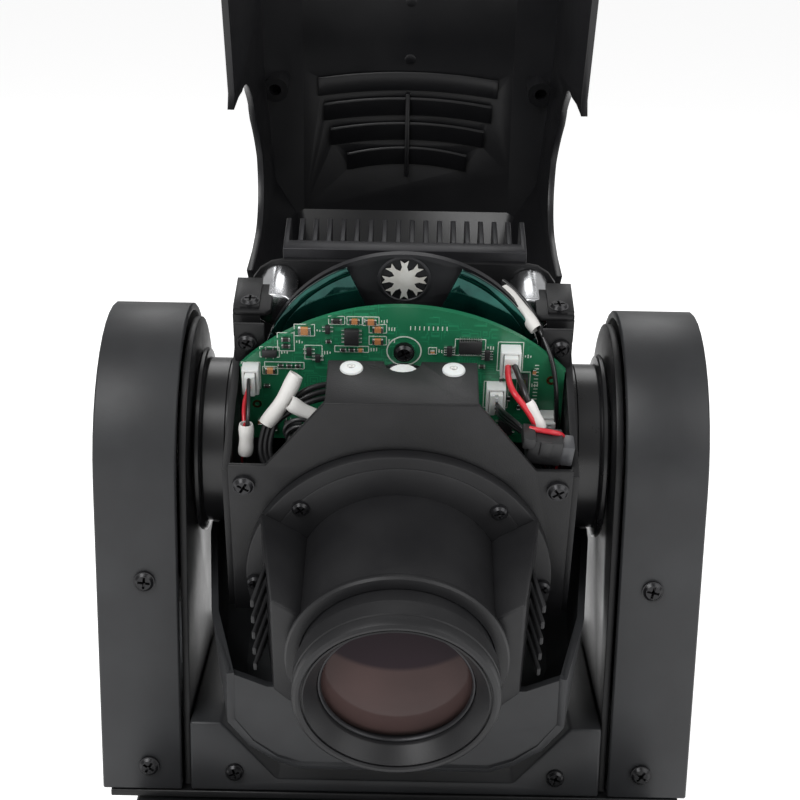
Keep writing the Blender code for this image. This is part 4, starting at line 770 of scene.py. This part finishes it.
def colour_filters():
    """Seven sectors of coated glass with ground edges, and an open place at the top."""
    glass = []
    edges = []
    step = pi / 4
    for i in range(1, 8):
        middle = pi / 2 + i * step
        start, end = middle - step / 2 + 0.008, middle + step / 2 - 0.008
        outer = arc((0, WHEEL_UP), 37.9, start, end, 16)
        inner = arc((0, WHEEL_UP), 14.3, end, start, 10)
        glass.append(plate([outer + inner], 1.02, 2.08, FORWARD, 0.08))
        edges.append(plate([arc((0, WHEEL_UP), 40.3, start, end, 16)
                            + arc((0, WHEEL_UP), 37.95, end, start, 16)], 0.95, 2.15, FORWARD, 0.3))
    mesh = gathered(*glass, *edges, indices=[0] * 7 + [1] * 7)
    settle("colour_filter_sectors", mesh, [FILTER, FILTER_EDGE], "colour_disc", HEAD, ("colour_filters",))


gobo_wheel()
gobo_patterns()
colour_filters()


# ---------------------------------------------------------------- control board
BOARD_FACE = 9.8


def control_board():
    side = acos(45.3 / 61)
    top = arc((0, OPTIC_UP), 61, side, pi - side, 72)
    nibs = []
    for a in (1.03, 1.055, 1.08, 2.06, 2.085, 2.11):
        nibs.append((61.0 * cos(a), OPTIC_UP + 61.0 * sin(a)))
    outer = [(-45.3, 8), (45.3, 8), *top]
    hole = circle((0, WHEEL_UP), 11.5, 64)
    board = plate([outer, hole], 8.2, BOARD_FACE, FORWARD)
    bits = [turned([(0, 8.35), (0.45, 8.35), (0.45, 9.65), (0, 9.65)],
                   Matrix.Translation((x * MM, 0, up * MM)) @ FORWARD, 16) for x, up in nibs]
    bm = bmesh.new()
    bm.from_mesh(board)
    for face in bm.faces:
        face.material_index = 0 if abs(face.normal.y) > 0.9 else 1
    bm.to_mesh(board)
    bm.free()
    bits.append(plate([arc((0, OPTIC_UP), 61.35, side, pi - side, 72) + arc((0, OPTIC_UP), 60.75,
                                                                            pi - side, side, 72)],
                      8.15, BOARD_FACE + 0.06, FORWARD))
    mesh = gathered(*bits, indices=[1] * len(bits))
    bm = bmesh.new()
    bm.from_mesh(board)
    bm.from_mesh(mesh)
    bm.to_mesh(mesh)
    bm.free()
    settle("control_board_laminate", mesh, [BOARD, LAMINATE], "head", HEAD, ("control_board",))


# each chip: across, up, width, height, thickness, leads a side, 1 if the leads leave its top and bottom
CHIPS = ((-14.2, 43.8, 4.0, 5.0, 1.5, 4, 0), (18.6, 41.0, 6.4, 4.0, 1.1, 10, 1),
         (-37.0, 37.8, 4.2, 2.2, 1.3, 2, 1),
         (-20.8, 46.0, 1.4, 2.6, 1.0, 2, 0), (-26.0, 38.6, 1.5, 2.6, 1.0, 2, 0),
         (-23.6, 36.4, 1.5, 2.4, 1.0, 2, 0),
         (12.9, 39.5, 1.5, 3.2, 0.9, 4, 0), (23.4, 38.4, 1.5, 3.4, 0.9, 4, 0),
         (-31.0, 12.5, 5.0, 4.0, 1.5, 4, 1),
         (29.5, 14.0, 4.0, 5.0, 1.5, 4, 0))
# each capacitor or resistor: across, up, length, width, 0 for ceramic and 1 for glaze, 1 if it stands upright
SMALL_PARTS = ((-18.3, 48.7, 3.0, 1.5, 1, 0), (-13.4, 48.7, 2.8, 1.6, 0, 0), (-8.9, 48.6, 3.0, 1.8, 0, 0),
               (-7.0, 46.2, 3.0, 1.8, 0, 0), (-7.0, 42.3, 3.0, 1.8, 0, 0), (-27.2, 45.3, 3.4, 2.4, 0, 0),
               (-32.4, 42.4, 2.4, 1.2, 1, 0), (-32.4, 40.2, 2.4, 1.2, 1, 0), (-37.0, 31.8, 2.8, 1.8, 0, 0),
               (-34.0, 33.6, 1.6, 0.9, 1, 0), (-31.6, 33.6, 1.6, 0.9, 1, 0), (-29.2, 33.6, 1.6, 0.9, 1, 0),
               (-16.6, 39.3, 1.8, 1.0, 1, 0), (-14.2, 39.3, 1.8, 1.0, 1, 0), (-11.8, 39.3, 1.8, 1.0, 0, 0),
               (8.2, 39.2, 1.2, 1.2, 0, 1), (30.0, 24.0, 1.8, 1.0, 1, 1), (27.6, 30.4, 1.8, 1.0, 1, 1),
               (22.0, 34.6, 1.8, 1.0, 1, 0), (33.0, 21.0, 1.8, 1.0, 1, 1), (-38.0, 26.6, 1.8, 1.0, 1, 0),
               (-20.6, 42.0, 1.6, 0.9, 1, 0), (36.8, 33.0, 1.8, 1.0, 0, 1), (-36.0, 12.0, 1.8, 1.0, 1, 1),
               (-40.5, 14.0, 1.8, 1.0, 0, 1), (36.6, 12.4, 1.8, 1.0, 0, 1), (21.0, 12.0, 1.8, 1.0, 1, 0))
# each printed frame round a part: across, up, width, height
FRAMES = ((-18.3, 48.7, 4.4, 2.6), (-13.4, 48.7, 4.2, 2.6), (-8.9, 48.6, 4.4, 2.8), (-7.0, 46.2, 4.8, 2.8),
          (-7.0, 42.3, 4.8, 2.8), (-27.2, 45.3, 5.6, 3.8), (-32.4, 41.3, 4.6, 6.0), (-37.0, 37.8, 5.4, 3.4),
          (-24.8, 38.0, 4.8, 4.6), (-14.2, 39.3, 9.4, 2.0), (8.2, 39.2, 2.2, 2.2), (18.6, 40.6, 8.4, 5.4),
          (29.8, 37.8, 7.0, 9.6), (33.9, 28.2, 3.6, 9.0), (26.4, 24.8, 6.8, 9.0), (-42.4, 29.8, 5.2, 9.0),
          (-33.0, 33.4, 11.0, 2.2), (-37.0, 31.6, 4.2, 2.6))


def board_parts():
    bodies = []
    leads = []
    for x, up, wide, high, thick, count, upright in CHIPS:
        bodies.append(block((x, -BOARD_FACE - 0.1 - thick / 2, up), (wide, thick, high), 0.22))
        span, reach = (wide, high) if upright else (high, wide)
        for i in range(count):
            along = (i + 0.5) / count * span - span / 2
            for end in (-1, 1):
                across = end * (reach / 2 + 0.35)
                place = (x + along, up + across) if upright else (x + across, up + along)
                leads.append((spot(place[0], BOARD_FACE + 0.35, place[1]), (0, 0, 0),
                              (0.5, 1, 1.6) if upright else (1.6, 1, 0.5)))
    settle("chips", gathered(*bodies), [CHIP], "head", HEAD)
    lead_mesh = repeated(BARS, leads, TIN, Length=0.6 * MM, Width=0.7 * MM, Thickness=0.6 * MM)
    settle("chip_leads", softened(lead_mesh, 0.06, 1), [TIN], "head", HEAD)
    kinds = ([], [])
    ends = []
    for x, up, long, wide, kind, upright in SMALL_PARTS:
        size = (wide * 0.96, 0.9, long * 0.6) if upright else (long * 0.6, 0.9, wide * 0.96)
        kinds[kind].append((spot(x, BOARD_FACE + 0.5, up), (0, 0, 0), size))
        for end in (-1, 1):
            shift = end * long * 0.4
            place = (x, up + shift) if upright else (x + shift, up)
            cap = (wide, 0.95, long * 0.22) if upright else (long * 0.22, 0.95, wide)
            ends.append((spot(place[0], BOARD_FACE + 0.5, place[1]), (0, 0, 0), cap))
    for name, places, material in (("ceramic_capacitors", kinds[0], CERAMIC),
                                   ("resistors", kinds[1], RESISTOR),
                                   ("solder_ends", ends, TIN)):
        mesh = repeated(BARS, places, material, Length=MM, Width=MM, Thickness=MM)
        settle(name, softened(mesh, 0.1, 1), [material], "head", HEAD)


def board_printing():
    """Ink frames round the parts, a ring round the screw, short ticks, and test pads; no lettering."""
    lines = []
    for x, up, wide, high in FRAMES:
        for sx, sy, lx, ly in ((0, high / 2, wide, 0.22), (0, -high / 2, wide, 0.22),
                               (wide / 2, 0, 0.22, high),
                               (-wide / 2, 0, 0.22, high)):
            lines.append((spot(x + sx, BOARD_FACE + 0.02, up + sy), (0, 0, 0), (lx, 0.05, ly)))
    random.seed(5)
    for x, up, wide, high in FRAMES[:14]:
        for i in range(3):
            lines.append((spot(x + wide / 2 + 0.7 + 0.75 * i, BOARD_FACE + 0.02,
                               up + random.uniform(-0.15, 0.15)),
                          (0, 0, 0), (0.28, 0.05, random.choice((0.6, 1.1, 1.1)))))
    for i in range(9):
        lines.append((spot(2.0 + 1.25 * i, BOARD_FACE + 0.02, 46.6), (0, 0, 0), (0.26, 0.05, 1.3)))
    for i in range(13):
        lines.append((spot(37.4, BOARD_FACE + 0.02, 21.2 + 1.15 * i), (0, 0, 0), (1.2, 0.05, 0.26)))
    mesh = repeated(BARS, lines, SILK, Length=MM, Width=MM, Thickness=MM)
    ring = turned([(4.55, 9.78), (4.55, 9.86), (4.9, 9.86), (4.9, 9.78)],
                  Matrix.Translation((0.3 * MM, 0, 39 * MM)) @ FORWARD, 64)
    settle("board_ink", gathered(mesh, ring), [SILK], "head", HEAD)
    pads = [turned([(0.7, 9.78), (0.7, 9.87), (radius, 9.87), (radius, 9.78)],
                   Matrix.Translation((x * MM, 0, up * MM)) @ FORWARD, 32)
            for x, up, radius in ((41.8, 30.0, 1.5), (-41.0, 20.0, 1.3), (41.5, 11.5, 1.4))]
    settle("board_pads", gathered(*pads), [GOLD], "head", HEAD)


def wire_header(name, x, up, wide, high, depth, ways, along_up=True):
    """A white two-part board connector: a shrouded header and the housing plugged in it."""
    low = BOARD_FACE + 0.05
    shroud = carved(block((x, -low - depth * 0.35, up), (wide, depth * 0.7, high), 0.3),
                    block((x, -low - depth * 0.6, up), (wide - 1.3, depth * 0.7, high - 1.3)))
    plug = block((x, -low - depth * 0.62, up), (wide - 1.7, depth * 0.76, high - 1.7), 0.3)
    slots = []
    for i in range(ways):
        shift = (i - (ways - 1) / 2) * 2.0
        at = (x, up + shift) if along_up else (x + shift, up)
        slots.append(block((at[0], -low - depth, at[1]), (0.9, 0.9, 0.9)))
    mesh = gathered(shroud, carved(plug, *slots))
    settle(name, mesh, [NYLON], "head", HEAD)


def connectors():
    wire_header("fan_header", -42.3, 30.2, 4.6, 8.4, 6.2, 2)
    wire_header("light_header", 29.8, 37.8, 5.6, 8.4, 6.2, 2)
    wire_header("upper_motor_header", 26.3, 25.2, 5.4, 8.6, 6.0, 4)
    wire_header("lower_motor_header", 41.6, 17.2, 5.2, 5.4, 5.6, 2)
    header = block((33.9, -BOARD_FACE - 1.3, 28.2), (2.4, 2.5, 8.2), 0.2)
    settle("pin_header_block", header, [CHIP], "head", HEAD)
    pins = [(spot(33.9, BOARD_FACE + 3.6, 24.9 + 1.65 * i), (0, 0, 0)) for i in range(5)]
    mesh = repeated(BARS, pins, GOLD, Length=0.5 * MM, Width=5.2 * MM, Thickness=0.5 * MM)
    settle("pin_header_pins", mesh, [GOLD], "head", HEAD)


control_board()
board_parts()
board_printing()
connectors()


# ---------------------------------------------------------------- leads, sleeves and in-line connectors
def leads():
    """The looms, replaced by their single wires."""
    black = []
    red = []
    for shift in (0, 1.3, 2.6):
        black.append(cable([spot(-19, 22 + shift, 36 - shift), spot(-25, 24 + shift, 36.5 - shift),
                            spot(-31, 26 + shift, 33 - shift), spot(-35, 30, 27 + shift * 0.5),
                            spot(-37.5, 33, 20),
                            spot(-36, 32, 11 + shift), spot(-30, 30, 8), spot(-24, 26, 12 - shift)], 0.85,
                            HEAD))
        black.append(cable([spot(-36.8 + shift, 30.6, 28.6), spot(-38.6 + shift, 33, 24),
                            spot(-38 + shift, 36, 19),
                            spot(-34 + shift, 38, 16), spot(-28, 38, 18 - shift), spot(-24, 36, 24)], 0.7,
                            HEAD))
    for lift in (0, 1.2, 2.4):
        ring = [spot(-27.2 + (4.4 - lift * 0.5) * cos(a), 33.6 + lift * 0.7,
                     28.4 - lift + (4.0 - lift * 0.4) * sin(a))
                for a in [2 * pi * i / 12 + lift for i in range(13)]]
        black.append(cable(ring + [spot(-23.5, 31, 24)], 0.62, HEAD))
    black.append(cable([spot(-42.6, 14, 32.4), spot(-42.2, 20, 33), spot(-41.6, 26, 32.4),
                        spot(-41.6, 30, 29.6),
                        spot(-42.0, 32, 26), spot(-43.0, 33, 17), spot(-43.6, 24, 4),
                        spot(-43.6, 12, -8)], 0.55,
                       HEAD))
    red.append(cable([spot(-42.2, 14, 29.8), spot(-43.0, 20, 30.6), spot(-43.2, 26, 30.4),
                      spot(-42.6, 30.2, 28.4),
                      spot(-42.6, 32.2, 24), spot(-43.8, 32, 15), spot(-44.0, 22, 2),
                      spot(-44.0, 12, -9)], 0.55,
                     HEAD))
    red.append(cable([spot(-22.5, 34, 26.4), spot(-24.6, 35.6, 25.6), spot(-27.0, 36, 27.4),
                      spot(-26.4, 35, 30.4),
                      spot(-22.6, 33, 31)], 0.75, HEAD))
    settle("left_wires", gathered(*black), [WIRE], "head", stands_for=("left_loom",))
    settle("left_red_wires", gathered(*red), [RED_WIRE], "head")
    black = [cable([spot(30.6, 14, 38.4), spot(31.4, 21, 39.6), spot(32.6, 27, 39.4), spot(33.8, 30, 36.8),
                    spot(37.4, 33, 30.4), spot(38.4, 34, 27)], 0.85, HEAD)]
    for shift in (0, 1.2, 2.4):
        black.append(cable([spot(26.3, 13, 22 + shift), spot(27, 20, 24.6 + shift),
                            spot(29.4, 26, 26.6 + shift),
                            spot(32, 31, 28 + shift * 0.7), spot(35, 34, 28), spot(38, 33, 20),
                            spot(42, 20, 2),
                            spot(43.6, 8 + shift, -8)], 0.66, HEAD))
        black.append(cable([spot(28, -12, 49 - shift * 0.6), spot(34, -6, 47.5 - shift),
                            spot(38.6, 2 + shift, 43),
                            spot(42.2, 10 + shift, 36), spot(43.4, 14 + shift, 26), spot(43.8, 12, 8),
                            spot(43.6, 4 + shift, -10)], 0.62, HEAD))
    red = [cable([spot(29.0, 14, 38.2), spot(28.4, 22, 39.6), spot(29.2, 29, 39.8), spot(31.6, 31.4, 38.2),
                  spot(34.6, 32, 34), spot(37.6, 34, 29)], 0.85, HEAD),
           cable([spot(34.2, 35.6, 32.2), spot(38.0, 36.8, 32.4), spot(41.6, 36.8, 31.8),
                  spot(44.2, 35, 29.4),
                  spot(44.6, 28, 18), spot(44, 12, -8)], 0.75, HEAD)]
    settle("right_wires", gathered(*black), [WIRE], "head", stands_for=("right_loom",))
    settle("right_red_wires", gathered(*red), [RED_WIRE], "head")


def sleeve(start, end, radius, bow):
    """A shrink sleeve, slightly bent and flat-ended, with a soft ridge where it grips the wires."""
    axis = (end - start)
    length = axis.length / MM
    steps = 18
    profile = [(radius * 0.82, 0)]
    for i in range(steps + 1):
        t = i / steps
        swell = 1 + 0.05 * sin(t * 9) - 0.10 * (abs(2 * t - 1) ** 6)
        profile.append((radius * swell, length * t))
    profile.append((radius * 0.82, length))
    profile.append((radius * 0.8, length * 0.5))
    mesh = turned(profile, IDENTITY, 32)
    for vertex in mesh.vertices:
        t = vertex.co.z / axis.length
        vertex.co.x += bow * MM * sin(pi * t)
    mesh.transform(Matrix.Translation(start) @ axis.to_track_quat("Z", "Y").to_matrix().to_4x4())
    return mesh


def sleeves():
    mesh = gathered(sleeve(spot(-28.6, 24.5, 40.6), spot(-36.8, 30.5, 28.2), 2.2, 0.9),
                    sleeve(spot(-22.8, 31, 31.0), spot(-30.2, 30.2, 35.4), 2.1, 0.3),
                    sleeve(spot(-42.0, 31.6, 29.0), spot(-42.4, 33.2, 20.0), 2.0, 0.2),
                    sleeve(spot(33.6, 30.0, 37.0), spot(37.6, 33.0, 30.2), 1.7, 0.2),
                    sleeve(spot(27.6, -7.0, 49.4), spot(37.0, 3.2, 42.6), 1.9, 0.6))
    settle("shrink_sleeves", mesh, [SLEEVE], "head", HEAD)


def inline_connector():
    """A black latched connector in the loom, and its grey other half."""
    turn = Matrix.Translation(spot(38.2, 37.2, 27.6)) @ Matrix.Rotation(radians(6), 4, "Y")
    black = block((0, 0, 0), (9.4, 7.0, 7.6), 0.6)
    latch = block((0, -3.8, 1.8), (3.2, 1.0, 4.6), 0.3)
    step = block((-4.6, -0.4, 3.0), (3.4, 7.2, 3.4), 0.4)
    mesh = gathered(black, latch, step)
    mesh.transform(turn)
    settle("inline_socket", mesh, [CHIP], "head", HEAD)
    grey = carved(block((6.2, -0.3, -0.4), (3.4, 6.0, 6.2), 0.4), block((8.2, -0.3, 0.6), (2.6, 4.4, 1.5)))
    grey.transform(turn)
    settle("inline_plug", grey, [GREY_SHELL], "head", HEAD)


leads()
sleeves()
inline_connector()


# ---------------------------------------------------------------- sheet metal extras
def tabs_and_flanges():
    """Folded ears on the side plates that take the cover's and the rear plate's screws."""
    parts = []
    for x in (-1, 1):
        tab = plate([[(x * 37.2, 14.2), (x * 47.9, 14.2), (x * 47.9, 0.2), (x * 47.2, -0.6), (x * 38.6, -0.6),
                      (x * 37.2, 0.8)][::x]], 43.6, 45.1, rounding=0.35)
        parts.append(tab)
        parts.append(block((x * 44.0, 0.2, 40.2), (7.8, 1.4, 7.6), 0.3))
        parts.append(block((x * 42.9, -5.0, 36), (8.6, 1.5, 16), 0.4))
    settle("side_plate_ears", gathered(*parts), [POWDER], "head", HEAD)


def rivets():
    """Two white blind rivets with their drawn mandrels."""
    heads = []
    pins = []
    for x in (-13.6, 13.6):
        at = Matrix.Translation(spot(x, 29, 46))
        heads.append(turned([(0, -0.4), (3.05, -0.4), (3.1, 0.15), (2.9, 0.55), (1.9, 0.95), (1.15, 0.95),
                             (1.0, 0.5),
                             (0, 0.45)], at, 48))
        pins.append(turned([(0, 0.3), (0.85, 0.3), (0.8, 0.75), (0.3, 0.85), (0, 0.6)], at, 5))
    settle("white_rivets", gathered(*heads), [NYLON], "head", HEAD)
    settle("rivet_mandrels", gathered(*pins), [TIN], "head", HEAD)
    spacer = turned([(0, 40.2), (4.1, 40.2), (4.3, 40.5), (4.3, 43.6), (4.0, 43.9), (0, 43.9)],
                    Matrix.Translation((0.2 * MM, -27.5 * MM, 0)), 48)
    settle("white_spacer", spacer, [NYLON], "head", HEAD)


tabs_and_flanges()
rivets()


# ---------------------------------------------------------------- top cover details
def louvre_blades():
    """Deep curved blades that hood each louvre on the inside, with ends, and the rib that joins them."""
    blades = []
    top, low = Vector((-4, 68)), Vector((46, 54))
    along = (low - top).normalized()
    inward = Vector((along.y, -along.x))
    for index, half in enumerate((31, 29, 26.5, 20.5)):
        start = top + along * (1.6 + 8.8 * index)
        radius = (half * half + 2.5 * 2.5) / 5
        depth = 0.55 if index == 0 else 1  # the first blade is shallower, over the wheels

        def build(bm, start=start, half=half, radius=radius, depth=depth):
            rows = []
            reach = half + 0.9
            for i in range(33):
                x = -reach + 2 * reach * i / 32
                bulge = (radius * radius - min(abs(x),
                                               half) ** 2) ** 0.5 - (radius * radius - half * half) ** 0.5
                edge = start + along * (7.7 - bulge)
                section = (edge + along * 0.7 + inward * 1.7, edge + along * 0.5 + inward * 2.9,
                           edge - along * 5.4 + inward * (2.4 + 2.5 * depth),
                           edge - along * 6.2 + inward * (2.2 + 2.4 * depth),
                           edge - along * 6.0 + inward * (2.0 + 1.8 * depth),
                           edge - along * 0.6 + inward * 1.9, edge - along * 0.3 + inward * 1.5)
                rows.append([bm.verts.new((x * MM, p.x * MM, p.y * MM)) for p in section])
            for one, two in zip(rows, rows[1:]):
                for j in range(7):
                    k = (j + 1) % 7
                    bm.faces.new((one[j], one[k], two[k], two[j]))
            bm.faces.new(rows[0])
            bm.faces.new(rows[-1])
            bmesh.ops.recalc_face_normals(bm, faces=bm.faces)

        blades.append(softened(mesh_from("blade", build), 0.22, 2))
    rib = block((0, 0, 0), (1.6, 30, 4.6), 0.5)
    middle = top + along * 23 + inward * 3.6
    rib.transform(Matrix.Translation((0, middle.x * MM, middle.y * MM))
                  @ Matrix.Rotation(atan2(along.y, along.x), 4, "X"))
    settle("louvre_blades", gathered(*blades, rib), [GLOSS], "cover", COVER)


def cover_bosses():
    """Two screw bosses on the inner slopes and the ejector marks on the roof."""
    parts = []
    for x in (-1, 1):
        at = Matrix.Translation(spot(x * 46.2, 3, 0))
        parts.append(turned([(2.1, 50.5), (4.5, 50.5), (4.6, 51), (4.6, 60), (2.1, 60)], at, 48))
    for up in (8.5, 30):
        at = Matrix.Translation(spot(0.6, up, 0))
        parts.append(turned([(0, 66.2), (1.9, 66.2), (1.9, 65.75), (1.6, 65.6), (0, 65.7)], at, 32))
    settle("cover_bosses", gathered(*parts), [GLOSS], "cover", COVER)


louvre_blades()
cover_bosses()


# ---------------------------------------------------------------- screws
def all_screws():
    up, ahead = head_aim((0, 0, 1)), head_aim((0, -1, 0))
    top_face = [(HEAD @ spot(x, -3.6, 45.05), up, 0.4 * x) for x in (-43.2, 43.6)]
    flanges = [(HEAD @ spot(x, 5.75, 38.6), ahead, 0.3 * x) for x in (-43.6, 44.0)]
    screws("tab_screws", "head", top_face + flanges, 2.7, 1.9)
    ears = [(HEAD @ spot(x, 45.0, 19), ahead, 0.2 * x) for x in (-41.9, 42.1)]
    screws("ear_screws", "head", ears, 3.0, 2.1)
    screws("board_screw", "head", [(HEAD @ spot(0.3, BOARD_FACE, 39), ahead, 0.5)], 2.9, 2.0)
    corners = ((-26.5, 14.5), (26.5, 14.5), (-39.6, -12), (39.6, -12))
    flange = [(HEAD @ spot(x, 48.9, w), ahead, 0.4 + x) for x, w in corners]
    screws("housing_screws", "head", flange, 2.4, 1.7)
    front = [(Vector((x, -40, z)) * MM, (0, -1, 0), 0.3 * x + z) for x in (-70.5, 70.5) for z in (131, 74)]
    screws("arm_screws", "yoke", front, 3.0, 1.6)
    rear = [(Vector((x, 40, z)) * MM, (0, 1, 0), 0.2 * x + z) for x in (-70.5, 70.5) for z in (131, 74)]
    screws("arm_rear_screws", "yoke", rear, 3.0, 1.6)
    cross = [(Vector((x, y, 72.5)) * MM, (0, y, 0), 0.3 * x) for x in (-46, 46) for y in (-40, 40)]
    screws("crossmember_screws", "yoke", cross, 2.6, 1.6)


all_screws()


# ---------------------------------------------------------------- base fittings
def rear_fittings():
    """The data sockets' rings, inserts and pins, and the inlet's rim and blades."""
    back = Matrix.Rotation(-pi / 2, 4, "X")
    shells, pins = [], []
    for x, raised in ((8.5, 1), (42.5, 0)):
        at = Matrix.Translation(Vector((x, 0, 32)) * MM) @ back
        shells.append(turned([(7.6, 77.3), (7.6, 78.5), (8.0, 79.0), (10.6, 79.0), (11.4, 78.2),
                              (11.4, 77.3)], at, 72))
        shells.append(turned([(0, 61), (7.2, 61), (7.2, 66), (6.8, 66.4), (0, 66.4)], at, 56))
        key = block((0, 0, 0), (2.2, 12, 1.4), 0.3)
        key.transform(Matrix.Translation(Vector((x, 69, 32 + 6.6)) * MM))
        shells.append(key)
        if raised:
            latch = block((0, 0, 0), (6.4, 2.2, 3.2), 0.5)
            latch.transform(Matrix.Translation(Vector((x, 78.6, 32 + 10.6)) * MM))
            shells.append(latch)
        for angle in (pi / 2 + 2 * pi / 3, pi / 2, pi / 2 - 2 * pi / 3):
            pin = turned([(0, 65), (0.95, 65), (0.95, 72.6), (0.5, 73.3), (0, 73.4)],
                         Matrix.Translation(Vector((x + 3.6 * cos(angle), 0,
                                                    32 - 3.6 * sin(angle))) * MM) @ back, 20)
            pins.append(pin)
    low, high = 77.3, 78.3
    rim = plate([[(-47.5, 21.5), (-20.5, 21.5), (-20.5, 38), (-24.5, 42.5), (-43.5, 42.5), (-47.5, 38)],
                 [(-45.8, 24.2), (-45.8, 37.2), (-42.8, 39.9), (-25.2, 39.9), (-22.2, 37.2), (-22.2, 24.2)]],
                -high, -low, FORWARD, 0.3)
    shells.append(rim)
    for x, z in ((-40.5, 29.5), (-27.5, 29.5), (-34, 34.5)):
        blade = block((0, 0, 0), (2.0, 11, 4.4), 0.5)
        blade.transform(Matrix.Translation(Vector((x, 66.5, z)) * MM))
        pins.append(blade)
    settle("rear_fitting_shells", gathered(*shells), [HOUSING], "base")
    settle("rear_contacts", gathered(*pins), [BRASS], "base")


def panel_marks():
    """An arrowhead beside each button, printed on the panel."""
    marks = []
    for x, z, a in ((24, 46.4, pi / 2), (24, 17.6, -pi / 2), (5.8, 32, pi), (42.2, 32, 0)):
        loop = [(x + 1.3 * cos(a + turn), z + 1.3 * sin(a + turn)) for turn in (0, 2 * pi / 3, 4 * pi / 3)]
        marks.append(plate([loop], 77.68, 77.78, FORWARD))
    settle("panel_marks", gathered(*marks), [MARK], "base")


rear_fittings()
panel_marks()


def base_screws():
    rear = [(Vector((x, 77.5, z)) * MM, (0, 1, 0), x + z) for x, z in
            ((-50.6, 32), (-17.4, 32), (-1.4, 41.9), (18.4, 22.1), (32.6, 41.9), (52.4, 22.1))]
    screws("socket_screws", "base", rear, 1.7, 0.9)
    front = [(Vector((x, -77.7, z)) * MM, (0, -1, 0), x * z) for x in (-44.6, 44.6) for z in (18.4, 45.6)]
    screws("panel_screws", "base", front, 1.9, 1.0)


base_screws()


# ---------------------------------------------------------------- stage, light and camera
def studio():
    floor = mesh_from("floor", lambda bm: bmesh.ops.create_grid(bm, x_segments=1, y_segments=1, size=9))
    floor.transform(Matrix.Translation((0, 0, -5 * MM)))
    obj = shown(floor, "floor")
    pale = bpy.data.materials.new("pale_floor")
    pale.use_nodes = True
    socket_values(pale.node_tree.nodes["Principled BSDF"], Base_Color=(0.80, 0.80, 0.80, 1), Roughness=0.85,
                  Emission_Color=(1, 1, 1, 1), Emission_Strength=0.62)
    floor.materials.append(pale)
    world = bpy.data.worlds.new("studio")
    world.use_nodes = True
    world.node_tree.nodes["Background"].inputs["Color"].default_value = (1, 1, 1, 1)
    nodes, links = world.node_tree.nodes, world.node_tree.links
    seen = nodes.new("ShaderNodeLightPath")
    strength = nodes.new("ShaderNodeMapRange")
    strength.inputs["To Min"].default_value = 0.40
    strength.inputs["To Max"].default_value = 1.05
    links.new(seen.outputs["Is Camera Ray"], strength.inputs["Value"])
    links.new(strength.outputs["Result"], nodes["Background"].inputs["Strength"])
    bpy.context.scene.world = world
    bpy.context.scene.view_settings.view_transform = "Standard"
    for name, place, size, power in (("key", (-0.7, -0.9, 1.3), 0.9, 17), ("fill", (1.0, -0.7, 0.9), 1.1, 9),
                                     ("back", (0.0, 1.1, 1.2), 0.9, 6)):
        lamp = bpy.data.lights.new(name, "AREA")
        lamp.size = size
        lamp.energy = power
        holder = bpy.data.objects.new(name, lamp)
        holder.location = place
        holder.rotation_euler = (Vector(place) - Vector((0, 0, 0.15))).to_track_quat("Z", "Y").to_euler()
        bpy.context.scene.collection.objects.link(holder)
    lens = bpy.data.cameras.new("camera")
    lens.lens = 76.5
    lens.sensor_width = 36
    lens.shift_x = -0.0025
    camera = bpy.data.objects.new("camera", lens)
    camera.matrix_world = (Matrix.Translation((0, -0.477, 0.316)) @ Matrix.Rotation(radians(73.3), 4, "X")
                           @ Matrix.Rotation(radians(1.1), 4, "Z"))
    bpy.context.scene.collection.objects.link(camera)
    bpy.context.scene.camera = camera


studio()
bpy.context.view_layer.update()
